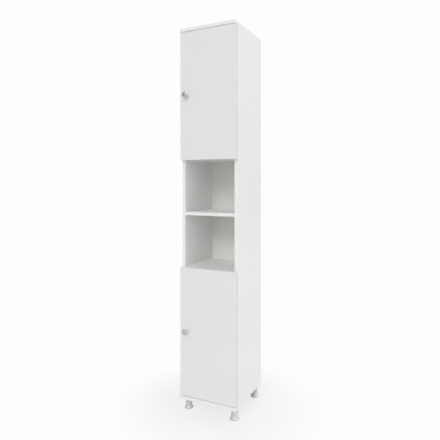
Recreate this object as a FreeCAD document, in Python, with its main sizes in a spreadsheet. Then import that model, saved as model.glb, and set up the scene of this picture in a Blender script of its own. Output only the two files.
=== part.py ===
import FreeCAD, Part
import math
import os

import Sketcher

# Tall bathroom cabinet on four feet, with a door above and a door below an open niche.
#
# +X is to the right, +Y to the rear and +Z up, in millimetres. The origin lies on the floor in the
# middle of the space that the cabinet fills, knobs included. Both doors hang on the right-hand side
# panel, each on two concealed cup hinges.

V = FreeCAD.Vector
X_AXIS = V(1, 0, 0)
Y_AXIS = V(0, 1, 0)
UP = V(0, 0, 1)
LEFT, RIGHT = 1, -1
TINY = 1e-6

DRIVING_SIZES = (
    # carcass
    ("cabinet_width", 300.0),
    ("panel_depth", 330.0),
    ("carcass_height", 1820.0),
    ("board", 16.0),
    ("panel_lip", 3.0),
    ("edge_round", 0.8),
    ("back_board", 3.0),
    ("back_inset", 12.0),
    ("groove_depth", 6.0),
    ("groove_play", 0.4),
    # doors
    ("door_height", 629.0),
    ("door_board", 22.0),
    ("door_reveal", 2.0),
    ("door_gap", 1.0),
    ("side_gap", 3.0),
    ("door_round", 1.0),
    # shelves and their pins
    ("shelf_play", 0.5),
    ("shelf_setback", 24.0),
    ("pin_radius", 2.5),
    ("pin_hole_depth", 10.0),
    ("pin_reach", 8.0),
    ("pin_head_radius", 4.0),
    ("pin_flat", 1.8),
    ("pin_row_inset", 37.0),
    ("pin_pitch", 32.0),
    ("seat_play", 0.1),
    # knobs
    ("knob_radius", 14.0),
    ("knob_reach", 25.0),
    ("knob_foot_radius", 8.0),
    ("knob_neck_radius", 5.5),
    ("knob_inset", 35.0),
    ("knob_rise", 4.0),
    ("knob_foot", 2.0),
    ("knob_waist", 8.0),
    ("knob_head", 8.0),
    ("knob_dome", 1.5),
    ("knob_round", 3.5),
    ("knob_rear_round", 1.0),
    ("knob_screw_grip", 10.0),
    ("knob_screw_rise", 2.5),
    ("knob_screw_radius", 2.0),
    ("knob_screw_head", 4.5),
    ("screw_play", 0.2),
    # feet
    ("foot_height", 60.0),
    ("foot_shaft_radius", 15.0),
    ("foot_base_radius", 22.0),
    ("foot_base_height", 20.0),
    ("foot_side_inset", 25.0),
    ("foot_front_inset", 48.0),
    ("foot_rear_inset", 27.0),
    ("foot_travel", 15.0),
    ("foot_stud_radius", 5.0),
    ("foot_stud_length", 22.0),
    ("foot_bolt_radius", 4.0),
    ("foot_bolt_grip", 12.0),
    ("foot_tip_play", 1.0),
    ("foot_rim", 1.0),
    ("foot_rim_height", 4.0),
    ("foot_rim_round", 0.6),
    ("thread_play", 0.05),
    # cams and dowels that join the boards
    ("cam_radius", 7.5),
    ("cam_depth", 12.0),
    ("cam_backset", 34.0),
    ("cam_row_inset", 50.0),
    ("cam_bolt_radius", 3.5),
    ("cam_thread_radius", 2.5),
    ("cam_bolt_grip", 10.0),
    ("cam_bolt_collar", 3.0),
    ("cam_bolt_neck", 2.0),
    ("cam_slot", 1.5),
    ("dowel_radius", 4.0),
    ("dowel_length", 30.0),
    ("dowel_in_face", 10.0),
    ("dowel_offset", 32.0),
    # hinge cups, in the door
    ("hinge_end", 100.0),
    ("cup_radius", 17.5),
    ("cup_wall", 0.8),
    ("cup_depth", 12.8),
    ("cup_inset", 4.0),
    ("flange_radius", 19.0),
    ("flange_board", 0.8),
    ("ear_spacing", 48.0),
    ("ear_offset", 6.0),
    ("ear_radius", 5.5),
    ("lug_depth", 1.6),
    ("lug_width", 7.0),
    ("lug_span", 6.4),
    # the four pivots of a hinge: how far in from the door's edge, and how far behind or inside its back
    ("link_pivot_in", 26.7),
    ("link_pivot_back", 9.8),
    ("cup_pivot_in", 9.1),
    ("cup_pivot_deep", 8.8),
    ("slot_pivot_in", 36.0),
    ("slot_pivot_back", 3.5),
    ("rim_pivot_in", 11.2),
    ("rim_pivot_deep", 4.5),
    ("hinge_pin_radius", 1.25),
    ("hinge_pin_half", 9.5),
    ("pin_play", 0.05),
    # hinge links
    ("strip_half_width", 1.5),
    ("eye_radius", 2.3),
    ("outer_link_half", 3.3),
    ("outer_knee_in", 21.0),
    ("outer_knee_deep", 9.8),
    ("cheek_near", 4.1),
    ("cheek_far", 5.7),
    ("inner_knee_in", 19.0),
    ("inner_knee_deep", 4.3),
    ("slot_run", 23.8),
    ("slot_rise", 7.8),
    ("slot_path", 2.1),
    ("slot_play", 0.5),
    ("slot_tilt", 6.5),
    ("slot_rim", 0.8),
    ("bridge_offset", 5.6),
    ("bridge_radius", 1.4),
    # hinge arm and mounting plate, on the side panel
    ("arm_near", 6.6),
    ("arm_sheet", 1.2),
    ("arm_nose_radius", 2.2),
    ("arm_web_in", 31.0),
    ("arm_open_in", 19.0),
    ("arm_web_start", 15.0),
    ("arm_end_back", 62.0),
    ("rail_start", 22.0),
    ("plate_board", 2.5),
    ("plate_wing_radius", 6.0),
    ("plate_setback", 37.0),
    ("plate_screw_pitch", 32.0),
    ("rail_play", 0.2),
    ("set_screw_radius", 2.5),
    ("set_screw_reach", 8.0),
    ("set_screw_front", 28.0),
    ("set_screw_rear", 52.0),
    ("wood_screw_radius", 2.0),
    ("wood_screw_length", 13.0),
    ("screw_head_radius", 3.6),
    ("screw_head", 1.6),
    # buffers between door and side panel
    ("buffer_radius", 4.0),
    ("buffer_end", 30.0),
)

doc = FreeCAD.newDocument("tall_bathroom_cabinet")
sheet = doc.addObject("Spreadsheet::Sheet", "sizes")
for row, (alias, number) in enumerate(DRIVING_SIZES, start=1):
    sheet.set(f"A{row}", alias)
    sheet.set(f"B{row}", str(number))
    sheet.setAlias(f"B{row}", alias)
doc.recompute()


def named(text):
    """Put the sheet's name before each alias in an expression."""
    words = text.replace("(", " ( ").replace(")", " ) ").replace(";", " ; ").split()
    aliases = {alias for alias, _ in DRIVING_SIZES}
    return " ".join("sizes." + word if word in aliases else word for word in words)


# Planes and heights that several pieces share, as expressions of the driving sizes.
REAR_Y = "( ( panel_depth + knob_reach - panel_lip ) / 2 )"
FRONT_Y = f"( {REAR_Y} - panel_depth )"
DOOR_FRONT_Y = f"( {FRONT_Y} + panel_lip )"
DOOR_BACK_Y = f"( {DOOR_FRONT_Y} + door_board )"
SIDE_FRONT_Y = f"( {DOOR_BACK_Y} + side_gap )"
SIDE_DEPTH = "( panel_depth - panel_lip - door_board - side_gap )"
INNER_WIDTH = "( cabinet_width - 2 * board )"
INNER_LEFT_X = "( board - cabinet_width / 2 )"
INNER_RIGHT_X = "( cabinet_width / 2 - board )"
BACK_FACE_Y = f"( {REAR_Y} - back_inset - back_board )"
FIXED_DEPTH = f"( {SIDE_DEPTH} - back_inset - back_board )"
CARCASS_TOP = "( foot_height + carcass_height )"
TOP_PANEL_Z = f"( {CARCASS_TOP} - board )"
LOWER_DOOR_Z = "( foot_height + board + door_gap )"
NICHE_FLOOR_TOP = f"( {LOWER_DOOR_Z} + door_height )"
UPPER_DOOR_Z = f"( {CARCASS_TOP} - board - door_gap - door_height )"
DOOR_WIDTH = "( cabinet_width - 2 * door_reveal )"
DOOR_LEFT_X = "( door_reveal - cabinet_width / 2 )"
HINGE_X = "( cabinet_width / 2 - door_reveal )"
KNOB_X = f"( {DOOR_LEFT_X} + knob_inset )"
CUP_AXIS_IN = "( cup_inset + cup_radius )"
PANEL_FACE_IN = "( board - door_reveal )"
SHELF_HEIGHTS = {
    "lower_shelf": f"( ( foot_height + board + {NICHE_FLOOR_TOP} - board - board ) / 2 )",
    "niche_shelf": f"( ( {NICHE_FLOOR_TOP} + {UPPER_DOOR_Z} - board ) / 2 )",
    "upper_shelf": f"( ( {UPPER_DOOR_Z} + board + {CARCASS_TOP} - board - board ) / 2 )",
}


def value_of(text):
    """Value of an expression of the driving sizes."""
    return float(sheet.evalExpression(named(text)))


def numbers(*aliases):
    """Values of some driving sizes."""
    return [getattr(sheet, alias) for alias in aliases]


def bind(thing, **expressions):
    """Bind properties of an object to expressions of the sheet."""
    for name, text in expressions.items():
        thing.setExpression(name, named(text))


def place(thing, x="0", y="0", z="0"):
    """Bind an object's place to expressions of the sheet."""
    for axis, text in (("x", x), ("y", y), ("z", z)):
        thing.setExpression("Placement.Base." + axis, named(text))
    return thing


def new_body(label, x="0", y="0", z="0"):
    """Start a part-design body whose local origin stands at x, y, z."""
    return place(doc.addObject("PartDesign::Body", label), x, y, z)


def new_sketch(body, plane, offset="0"):
    """Add a sketch to one of the body's own origin planes, moved along the plane's normal."""
    sketch = body.newObject("Sketcher::SketchObject", body.Name + "_sketch")
    face = next(f for f in body.Origin.OriginFeatures if f.Role == plane)
    sketch.AttachmentSupport = [(face, "")]
    sketch.MapMode = "FlatFace"
    sketch.setExpression("AttachmentOffset.Base.z", named(offset))
    return sketch


def fix(sketch, kind, name, text, *where):
    """Add a dimension to a sketch and bind it to an expression."""
    index = sketch.addConstraint(Sketcher.Constraint(kind, *where, 1.0))
    sketch.renameConstraint(index, name)
    sketch.setExpression("Constraints." + name, named(text))


def side_between(start, end, radius, turn):
    """Line or arc from start to end, and the numbers that its two ends have in a sketch.

    An arc bends to the left or to the right as seen from its start. A sketch counts the ends of
    every arc against the clock, so an arc that bends to the right has them the other way round.
    """
    if not radius:
        return Part.LineSegment(start, end), (1, 2)
    chord = end - start
    towards_centre = UP.cross(chord).normalize() * turn
    centre = (start + end) / 2 + towards_centre * math.sqrt(radius ** 2 - (chord.Length / 2) ** 2)
    angles = [math.atan2(point.y - centre.y, point.x - centre.x) for point in (start, end)]
    circle_around = Part.Circle(centre, UP, radius)
    if turn == LEFT:
        return Part.ArcOfCircle(circle_around, *angles), (1, 2)
    return Part.ArcOfCircle(circle_around, *reversed(angles)), (2, 1)


def outline(sketch, corners):
    """Draw a closed outline through corners, each a pair of expressions.

    A corner with two more values, a radius and LEFT or RIGHT, has an arc from it to the next one.
    """
    count = len(corners)
    points = [V(value_of(corner[0]), value_of(corner[1]), 0) for corner in corners]
    sides = []
    for i, corner in enumerate(corners):
        radius, turn = (value_of(corner[2]), corner[3]) if len(corner) > 2 else (0, LEFT)
        curve, ends = side_between(points[i], points[(i + 1) % count], radius, turn)
        sides.append((sketch.addGeometry(curve, False), *ends))
    for i, corner in enumerate(corners):
        side, first, last = sides[i]
        next_side, next_first, _ = sides[(i + 1) % count]
        sketch.addConstraint(Sketcher.Constraint("Coincident", side, last, next_side, next_first))
        fix(sketch, "DistanceX", f"u{side}", corner[0], -1, 1, side, first)
        fix(sketch, "DistanceY", f"v{side}", corner[1], -1, 1, side, first)
        if len(corner) > 2:
            fix(sketch, "Radius", f"r{side}", corner[2], side)


def circle(sketch, u, v, diameter):
    """Draw a circle at (u, v), all three sizes as expressions."""
    index = sketch.addGeometry(Part.Circle(V(5, 5, 0), UP, 2.0), False)
    fix(sketch, "Diameter", f"d{index}", diameter, index)
    fix(sketch, "DistanceX", f"u{index}", u, -1, 1, index, 3)
    fix(sketch, "DistanceY", f"v{index}", v, -1, 1, index, 3)


def pad(body, sketch, length):
    """Pad a sketch along its plane's normal."""
    feature = body.newObject("PartDesign::Pad", body.Name + "_pad")
    feature.Profile = sketch
    bind(feature, Length=length)
    return feature


def pocket(body, sketch, depth, along_normal=False, both=False):
    """Cut a sketch into the body, against its plane's normal unless told otherwise."""
    feature = body.newObject("PartDesign::Pocket", body.Name + "_pocket")
    feature.Profile = sketch
    feature.Reversed = along_normal
    feature.Midplane = both
    bind(feature, Length=depth)
    return feature


def drill(body, plane, offset, spots, diameter, depth, along_normal=False):
    """Drill equal round holes at spots on a plane that lies at offset along its normal."""
    sketch = new_sketch(body, plane, offset)
    for u, v in spots:
        circle(sketch, u, v, diameter)
    return pocket(body, sketch, depth, along_normal)


def block(label, place_at, wide, deep, high):
    """Pad a board: a rectangle in plan, its lowest front left corner at place_at."""
    body = new_body(label, *place_at)
    plan = new_sketch(body, "XY_Plane")
    outline(plan, (("0", "0"), (wide, "0"), (wide, deep), ("0", deep)))
    pad(body, plan, high)
    return body


def fillet(body, radius, edge_numbers):
    """Round edges of the body's last feature, given by their numbers."""
    base = body.Tip
    feature = body.newObject("PartDesign::Fillet", body.Name + "_round")
    feature.Base = (base, [f"Edge{number}" for number in edge_numbers])
    bind(feature, Radius=radius)
    return feature


def soften(body, radius):
    """Round every edge that the body has so far."""
    doc.recompute()
    return fillet(body, radius, range(1, len(body.Tip.Shape.Edges) + 1))


def round_front(body, radius):
    """Round the two long edges of a board's front, which lies at y = 0 of its own frame."""
    doc.recompute()
    front = []
    for number, edge in enumerate(body.Tip.Shape.Edges, start=1):
        in_front = all(abs(end.Point.y) < TINY for end in edge.Vertexes)
        if in_front and edge.Length > value_of("board") + TINY:
            front.append(number)
    return fillet(body, radius, front)


def round_rim(body, radius, rim_radius, rim_height):
    """Round the circular edge of a turned body that has this radius and height."""
    doc.recompute()
    rims = []
    for number, edge in enumerate(body.Tip.Shape.Edges, start=1):
        if not edge.Degenerated and isinstance(edge.Curve, Part.Circle):
            misses = (edge.Curve.Radius - value_of(rim_radius), edge.Curve.Center.z - value_of(rim_height))
            if max(misses) < TINY and min(misses) > -TINY:
                rims.append(number)
    return fillet(body, radius, rims)


def tangent_radius(across, along):
    """Radius of an arc that sets out straight along one way and ends this far across and along."""
    return f"( ( {across} ^ 2 + {along} ^ 2 ) / ( 2 * {across} ) )"


def copies(label, master, spots):
    """Make a node of equal separate solids: the master piece at each spot, turned about one axis."""
    links = []
    for number, (x, y, z, turn, axis) in enumerate(spots, start=1):
        link = doc.addObject("App::Link", f"{label}_{number}")
        link.LinkedObject = master
        link.Placement = FreeCAD.Placement(V(0, 0, 0), FreeCAD.Rotation(axis, turn))
        links.append(place(link, x, y, z))
    group = doc.addObject("Part::Compound", label)
    group.Links = links
    return group


def cylinder(label, radius, height, x="0", y="0", z="0", axis=UP):
    """Part cylinder that starts at x, y, z and runs along an axis."""
    made = doc.addObject("Part::Cylinder", label)
    made.Placement = FreeCAD.Placement(V(0, 0, 0), FreeCAD.Rotation(UP, axis))
    bind(made, Radius=radius, Height=height)
    return place(made, x, y, z)


def turned(label, profile):
    """Revolve a half section, an outline of (radius, height) corners, about the body's Z axis."""
    body = new_body(label)
    sketch = new_sketch(body, "XZ_Plane")
    outline(sketch, profile)
    feature = body.newObject("PartDesign::Revolution", label + "_turn")
    feature.Profile = sketch
    feature.ReferenceAxis = (sketch, ["V_Axis"])
    feature.Angle = 360.0
    return body


# ---------------------------------------------------------------- carcass

CAM_ROWS = ("cam_row_inset", f"( {FIXED_DEPTH} - cam_row_inset )")
DOWEL_ROWS = ("( cam_row_inset + dowel_offset )", f"( {FIXED_DEPTH} - cam_row_inset - dowel_offset )")
PIN_ROWS = ("pin_row_inset", f"( {FIXED_DEPTH} - pin_row_inset )")
DOWEL_IN_EDGE = "( dowel_length - dowel_in_face )"
SIDE_HEIGHT = "( carcass_height - 2 * board )"
SIDE_BOTTOM_Z = "( foot_height + board )"
FIXED_PANELS = {
    "niche_floor_panel": f"( {NICHE_FLOOR_TOP} - board )",
    "niche_ceiling_panel": UPPER_DOOR_Z,
}


def shelf_pin_heights(shelf):
    """Heights of the pin holes above the side panel's foot: the one in use and two spare ones."""
    used = f"( {SHELF_HEIGHTS[shelf]} - seat_play - pin_flat - {SIDE_BOTTOM_Z} )"
    return [used, f"( {used} - pin_pitch )", f"( {used} + pin_pitch )"]


def side_panel(label, inner_on_right):
    """Side panel with its pin holes, hinge screw holes, cam bores and the back panel's groove."""
    corner_x = "( 0 - cabinet_width / 2 )" if inner_on_right else "( cabinet_width / 2 - board )"
    body = block(label, (corner_x, SIDE_FRONT_Y, SIDE_BOTTOM_Z), "board", SIDE_DEPTH, SIDE_HEIGHT)
    round_front(body, "edge_round")
    inner_face = "board" if inner_on_right else "0"
    into_board = not inner_on_right

    def inner_holes(spots, diameter, depth):
        drill(body, "YZ_Plane", inner_face, spots, diameter, depth, along_normal=into_board)

    pin_spots = []
    for shelf in SHELF_HEIGHTS:
        for height in shelf_pin_heights(shelf):
            pin_spots += [(row, height) for row in PIN_ROWS]
    inner_holes(pin_spots, "( 2 * pin_radius )", "pin_hole_depth")

    cam_spots = []
    for height in ("cam_backset", f"( {SIDE_HEIGHT} - cam_backset )"):
        cam_spots += [(row, height) for row in CAM_ROWS]
    inner_holes(cam_spots, "( 2 * cam_radius )", "cam_depth")

    bolt_spots = []
    dowel_spots = []
    for level in FIXED_PANELS.values():
        height = f"( {level} + board / 2 - {SIDE_BOTTOM_Z} )"
        bolt_spots += [(row, height) for row in CAM_ROWS]
        dowel_spots += [(row, height) for row in DOWEL_ROWS]
    inner_holes(bolt_spots, "( 2 * cam_thread_radius )", "cam_bolt_grip")
    inner_holes(dowel_spots, "( 2 * dowel_radius )", "dowel_in_face")

    groove = new_sketch(body, "XY_Plane")
    near = "( board - groove_depth )" if inner_on_right else "0"
    far = "board" if inner_on_right else "groove_depth"
    front = FIXED_DEPTH
    rear = f"( {FIXED_DEPTH} + back_board + groove_play )"
    outline(groove, ((near, front), (far, front), (far, rear), (near, rear)))
    pocket(body, groove, SIDE_HEIGHT, along_normal=True)

    for level, along in (("0", True), (SIDE_HEIGHT, False)):
        bolts = [("( board / 2 )", row) for row in CAM_ROWS]
        drill(body, "XY_Plane", level, bolts, "( 2 * cam_bolt_radius )", "cam_backset", along)
        dowels = [("( board / 2 )", row) for row in DOWEL_ROWS]
        drill(body, "XY_Plane", level, dowels, "( 2 * dowel_radius )", DOWEL_IN_EDGE, along)
    if not inner_on_right:
        plate_holes(body)
    return body


def hinge_heights():
    """Heights of the four hinge centres, from the lowest up."""
    heights = []
    for base in (LOWER_DOOR_Z, UPPER_DOOR_Z):
        heights += [f"( {base} + hinge_end )", f"( {base} + door_height - hinge_end )"]
    return heights


def plate_holes(body):
    """Pilot holes in the side panel for the screws of the mounting plates."""
    spots = []
    for height in hinge_heights():
        for side in ("-", "+"):
            spots.append(("plate_setback", f"( {height} {side} plate_screw_pitch / 2 - {SIDE_BOTTOM_Z} )"))
    diameter = "( 2 * wood_screw_radius )"
    drill(body, "YZ_Plane", "0", spots, diameter, "wood_screw_length", along_normal=True)


def end_panel(label, level, opens_up):
    """Top or bottom panel over the full width and depth, bored and grooved on its inner face."""
    corner = ("( 0 - cabinet_width / 2 )", FRONT_Y, level)
    body = block(label, corner, "cabinet_width", "panel_depth", "board")
    soften(body, "edge_round")
    inner_face = "board" if opens_up else "0"
    into_board = not opens_up
    centres = ("( board / 2 )", "( cabinet_width - board / 2 )")
    reach = "( panel_lip + door_board + side_gap )"

    def inner_holes(rows, diameter, depth):
        spots = [(x, f"( {reach} + {row} )") for x in centres for row in rows]
        drill(body, "XY_Plane", inner_face, spots, diameter, depth, along_normal=into_board)

    inner_holes(CAM_ROWS, "( 2 * cam_thread_radius )", "cam_bolt_grip")
    inner_holes(DOWEL_ROWS, "( 2 * dowel_radius )", "dowel_in_face")
    groove = new_sketch(body, "XY_Plane", inner_face)
    left = "( board - groove_depth )"
    right = "( cabinet_width - board + groove_depth )"
    front = f"( {reach} + {FIXED_DEPTH} )"
    rear = f"( {front} + back_board + groove_play )"
    outline(groove, ((left, front), (right, front), (right, rear), (left, rear)))
    pocket(body, groove, "groove_depth", along_normal=into_board)
    if opens_up:
        spots = [(f"( {x} + cabinet_width / 2 )", f"( {y} - {FRONT_Y} )") for x, y in foot_spots()]
        drill(body, "XY_Plane", "0", spots, "( 2 * foot_bolt_radius )", "foot_bolt_grip", along_normal=True)
    return body


def foot_spots():
    """Centres of the feet: front left, front right, rear left, rear right."""
    spots = []
    for y in (f"( {FRONT_Y} + foot_front_inset )", f"( {REAR_Y} - foot_rear_inset )"):
        spots.append(("( foot_side_inset - cabinet_width / 2 )", y))
        spots.append(("( cabinet_width / 2 - foot_side_inset )", y))
    return spots


def fixed_panel(label, level, cams_above):
    """Fixed panel beside the niche, joined by cams that open towards the closed compartment."""
    x = "( board - cabinet_width / 2 )"
    body = block(label, (x, SIDE_FRONT_Y, level), INNER_WIDTH, FIXED_DEPTH, "board")
    round_front(body, "edge_round")
    face = "board" if cams_above else "0"
    spots = [(u, row) for u in ("cam_backset", f"( {INNER_WIDTH} - cam_backset )") for row in CAM_ROWS]
    drill(body, "XY_Plane", face, spots, "( 2 * cam_radius )", "cam_depth", along_normal=not cams_above)
    for offset, along in (("0", True), (INNER_WIDTH, False)):
        bolts = [(row, "( board / 2 )") for row in CAM_ROWS]
        drill(body, "YZ_Plane", offset, bolts, "( 2 * cam_bolt_radius )", "cam_backset", along)
        dowels = [(row, "( board / 2 )") for row in DOWEL_ROWS]
        drill(body, "YZ_Plane", offset, dowels, "( 2 * dowel_radius )", DOWEL_IN_EDGE, along)
    return body


def shelf(label, setback, rear_play):
    """Loose shelf between the side panels."""
    x = "( board + shelf_play - cabinet_width / 2 )"
    wide = f"( {INNER_WIDTH} - 2 * shelf_play )"
    deep = f"( {FIXED_DEPTH} - {setback} - {rear_play} )"
    body = block(label, (x, f"( {SIDE_FRONT_Y} + {setback} )", SHELF_HEIGHTS[label]), wide, deep, "board")
    round_front(body, "edge_round")
    return body


def carcass_boards():
    """All boards of the carcass."""
    nodes = [
        side_panel("side_panel_left", inner_on_right=True),
        side_panel("side_panel_right", inner_on_right=False),
        end_panel("top_panel", TOP_PANEL_Z, opens_up=False),
        end_panel("bottom_panel", "foot_height", opens_up=True),
        fixed_panel("niche_floor_panel", FIXED_PANELS["niche_floor_panel"], cams_above=False),
        fixed_panel("niche_ceiling_panel", FIXED_PANELS["niche_ceiling_panel"], cams_above=True),
        shelf("niche_shelf", "0", "shelf_play"),
        shelf("upper_shelf", "shelf_setback", "shelf_play"),
        shelf("lower_shelf", "shelf_setback", "shelf_play"),
    ]
    side_play = "( groove_play / 2 )"
    wide = f"( {INNER_WIDTH} + 2 * groove_depth - groove_play )"
    high = f"( {SIDE_HEIGHT} + 2 * groove_depth - groove_play )"
    x = f"( board - groove_depth + {side_play} - cabinet_width / 2 )"
    z = f"( foot_height + board - groove_depth + {side_play} )"
    nodes.append(block("back_panel", (x, BACK_FACE_Y, z), wide, "back_board", high))
    return nodes


carcass_nodes = carcass_boards()
doc.recompute()

# ---------------------------------------------------------------- cams, dowels and shelf pins


def in_cabinet(rows):
    """Rows that are counted from the side panels' front edge, as places in the cabinet."""
    return [f"( {SIDE_FRONT_Y} + {row} )" for row in rows]


def joint_spots(rows):
    """Where bolts or dowels cross from a board's face into the next board's end, each with its turn."""
    spots = []
    for y in in_cabinet(rows):
        for centre in ("( board / 2 - cabinet_width / 2 )", "( cabinet_width / 2 - board / 2 )"):
            spots.append((centre, y, SIDE_BOTTOM_Z, 0.0, X_AXIS))
            spots.append((centre, y, TOP_PANEL_Z, 180.0, X_AXIS))
        for level in FIXED_PANELS.values():
            spots.append((INNER_LEFT_X, y, f"( {level} + board / 2 )", 90.0, Y_AXIS))
            spots.append((INNER_RIGHT_X, y, f"( {level} + board / 2 )", -90.0, Y_AXIS))
    return spots


def cam_housing_spots():
    """Mouth centres of the cam bores, with the turn that points a housing into its board."""
    spots = []
    for y in in_cabinet(CAM_ROWS):
        for z in (f"( {SIDE_BOTTOM_Z} + cam_backset )", f"( {TOP_PANEL_Z} - cam_backset )"):
            spots.append((INNER_LEFT_X, y, z, -90.0, Y_AXIS))
            spots.append((INNER_RIGHT_X, y, z, 90.0, Y_AXIS))
        for x in (f"( {INNER_LEFT_X} + cam_backset )", f"( {INNER_RIGHT_X} - cam_backset )"):
            spots.append((x, y, f"( {FIXED_PANELS['niche_ceiling_panel']} + board )", 180.0, X_AXIS))
            spots.append((x, y, FIXED_PANELS["niche_floor_panel"], 0.0, X_AXIS))
    return spots


def shelf_pin_spots():
    """Mouths of the shelf pin holes in use, with the turn that points each pin inwards."""
    spots = []
    for bottom in SHELF_HEIGHTS.values():
        z = f"( {bottom} - seat_play - pin_flat )"
        for y in in_cabinet(PIN_ROWS):
            spots.append((INNER_LEFT_X, y, z, 90.0, Y_AXIS))
            spots.append((INNER_RIGHT_X, y, z, -90.0, Y_AXIS))
    return spots


def screw_profile(radius, reach, head_radius, head):
    """Half section of a screw: its head stands above height 0 and its shank runs down from it."""
    tip = f"( 0 - {reach} )"
    return (("0", tip), (radius, tip), (radius, "0"), (head_radius, "0"), (head_radius, head), ("0", head))


def joining_nodes():
    """Cam housings, cam bolts, dowels and shelf pins, each kind one node of equal solids."""
    bolt = turned("cam_bolt_master", (
        ("0", "( 0 - cam_bolt_grip )"),
        ("( cam_thread_radius - thread_play )", "( 0 - cam_bolt_grip )"),
        ("( cam_thread_radius - thread_play )", "0"),
        ("( cam_bolt_radius - screw_play )", "0"),
        ("( cam_bolt_radius - screw_play )", "cam_bolt_collar"),
        ("cam_bolt_neck", "cam_bolt_collar"),
        ("cam_bolt_neck", "( cam_backset - cam_bolt_neck )"),
        ("( cam_bolt_radius - 2 * screw_play )", "( cam_backset - cam_bolt_neck )"),
        ("( cam_bolt_radius - 2 * screw_play )", "( cam_backset + cam_bolt_neck )"),
        ("0", "( cam_backset + cam_bolt_neck )"),
    ))
    housing = new_body("cam_housing_master")
    disc = new_sketch(housing, "XY_Plane")
    circle(disc, "0", "0", "( 2 * cam_radius - 2 * thread_play )")
    pad(housing, disc, "cam_depth")
    bore = new_sketch(housing, "YZ_Plane")
    circle(bore, "0", "( board / 2 )", "( 2 * cam_bolt_radius )")
    pocket(housing, bore, "( 4 * cam_radius )", both=True)
    slot = new_sketch(housing, "XY_Plane")
    half = "( cam_slot / 2 )"
    reach = "( cam_radius / 2 )"
    outline(slot, (
        (f"( 0 - {reach} )", f"( 0 - {half} )"),
        (reach, f"( 0 - {half} )"),
        (reach, half),
        (f"( 0 - {reach} )", half),
    ))
    pocket(housing, slot, "cam_slot", along_normal=True)
    chamfer = "( dowel_radius / 4 )"
    dowel = turned("dowel_master", (
        ("0", "( 0 - dowel_in_face )"),
        (f"( dowel_radius - thread_play - {chamfer} )", "( 0 - dowel_in_face )"),
        ("( dowel_radius - thread_play )", f"( {chamfer} - dowel_in_face )"),
        ("( dowel_radius - thread_play )", f"( {DOWEL_IN_EDGE} - {chamfer} )"),
        (f"( dowel_radius - thread_play - {chamfer} )", DOWEL_IN_EDGE),
        ("0", DOWEL_IN_EDGE),
    ))
    pin = turned("shelf_pin_master", (
        ("0", "( seat_play - pin_hole_depth )"),
        ("( pin_radius - thread_play )", "( seat_play - pin_hole_depth )"),
        ("( pin_radius - thread_play )", "0"),
        ("pin_head_radius", "0"),
        ("pin_head_radius", "pin_reach"),
        ("0", "pin_reach"),
    ))
    flats = new_sketch(pin, "XY_Plane")
    for side in ("", "0 - "):
        near = f"( {side}pin_flat )"
        far = f"( {side}2 * pin_head_radius )"
        low = "( 0 - 2 * pin_head_radius )"
        high = "( 2 * pin_head_radius )"
        outline(flats, ((near, low), (far, low), (far, high), (near, high)))
    pocket(pin, flats, "pin_reach", along_normal=True)
    return [
        copies("cam_bolts", bolt, joint_spots(CAM_ROWS)),
        copies("cam_housings", housing, cam_housing_spots()),
        copies("wood_dowels", dowel, joint_spots(DOWEL_ROWS)),
        copies("shelf_pins", pin, shelf_pin_spots()),
    ]


# ---------------------------------------------------------------- feet

FOOT_NAMES = ("front_left", "front_right", "rear_left", "rear_right")


def foot_nodes():
    """Four shafts and bases, and the hanger bolts that hold the shafts to the bottom panel."""
    shaft_high = "( foot_height - foot_base_height )"
    stud_bore = "( foot_stud_length + foot_tip_play )"
    bolt_bore = f"( {shaft_high} - {stud_bore} - foot_tip_play )"
    shaft = turned("foot_shaft_master", (
        ("( foot_stud_radius + thread_play )", "0"),
        ("foot_shaft_radius", "0"),
        ("foot_shaft_radius", shaft_high),
        ("( foot_bolt_radius + thread_play )", shaft_high),
        ("( foot_bolt_radius + thread_play )", f"( {shaft_high} - {bolt_bore} )"),
        ("0", f"( {shaft_high} - {bolt_bore} )"),
        ("0", stud_bore),
        ("( foot_stud_radius + thread_play )", stud_bore),
    ))
    bolt = turned("hanger_bolt_master", (
        ("0", f"( {shaft_high} - {bolt_bore} + screw_play )"),
        ("foot_bolt_radius", f"( {shaft_high} - {bolt_bore} + screw_play )"),
        ("foot_bolt_radius", f"( {shaft_high} + foot_bolt_grip - screw_play )"),
        ("0", f"( {shaft_high} + foot_bolt_grip - screw_play )"),
    ))
    flare = tangent_radius(
        "( foot_base_radius - foot_shaft_radius )", "( foot_base_height - foot_rim_height )")
    base = turned("foot_base_master", (
        ("0", "0"),
        ("( foot_base_radius - foot_rim )", "0"),
        ("foot_base_radius", "foot_rim"),
        ("foot_base_radius", "foot_rim_height", flare, RIGHT),
        ("foot_shaft_radius", "foot_base_height"),
        ("foot_stud_radius", "foot_base_height"),
        ("foot_stud_radius", "( foot_base_height + foot_stud_length )"),
        ("0", "( foot_base_height + foot_stud_length )"),
    ))
    round_rim(base, "foot_rim_round", "foot_base_radius", "foot_rim_height")
    nodes = []
    for name, (x, y) in zip(FOOT_NAMES, foot_spots()):
        nodes.append(copies("foot_shaft_" + name, shaft, [(x, y, "foot_base_height", 0.0, UP)]))
        nodes.append(copies("foot_base_" + name, base, [(x, y, "0", 0.0, UP)]))
    spots = [(x, y, "foot_base_height", 0.0, UP) for x, y in foot_spots()]
    nodes.append(copies("foot_hanger_bolts", bolt, spots))
    return nodes


# ---------------------------------------------------------------- doors and knobs

DOOR_HEIGHTS = {"lower": LOWER_DOOR_Z, "upper": UPPER_DOOR_Z}
KNOB_ON_DOOR = "( door_height / 2 + knob_rise )"
HINGE_LEVELS = {"bottom": "hinge_end", "top": "( door_height - hinge_end )"}


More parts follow.
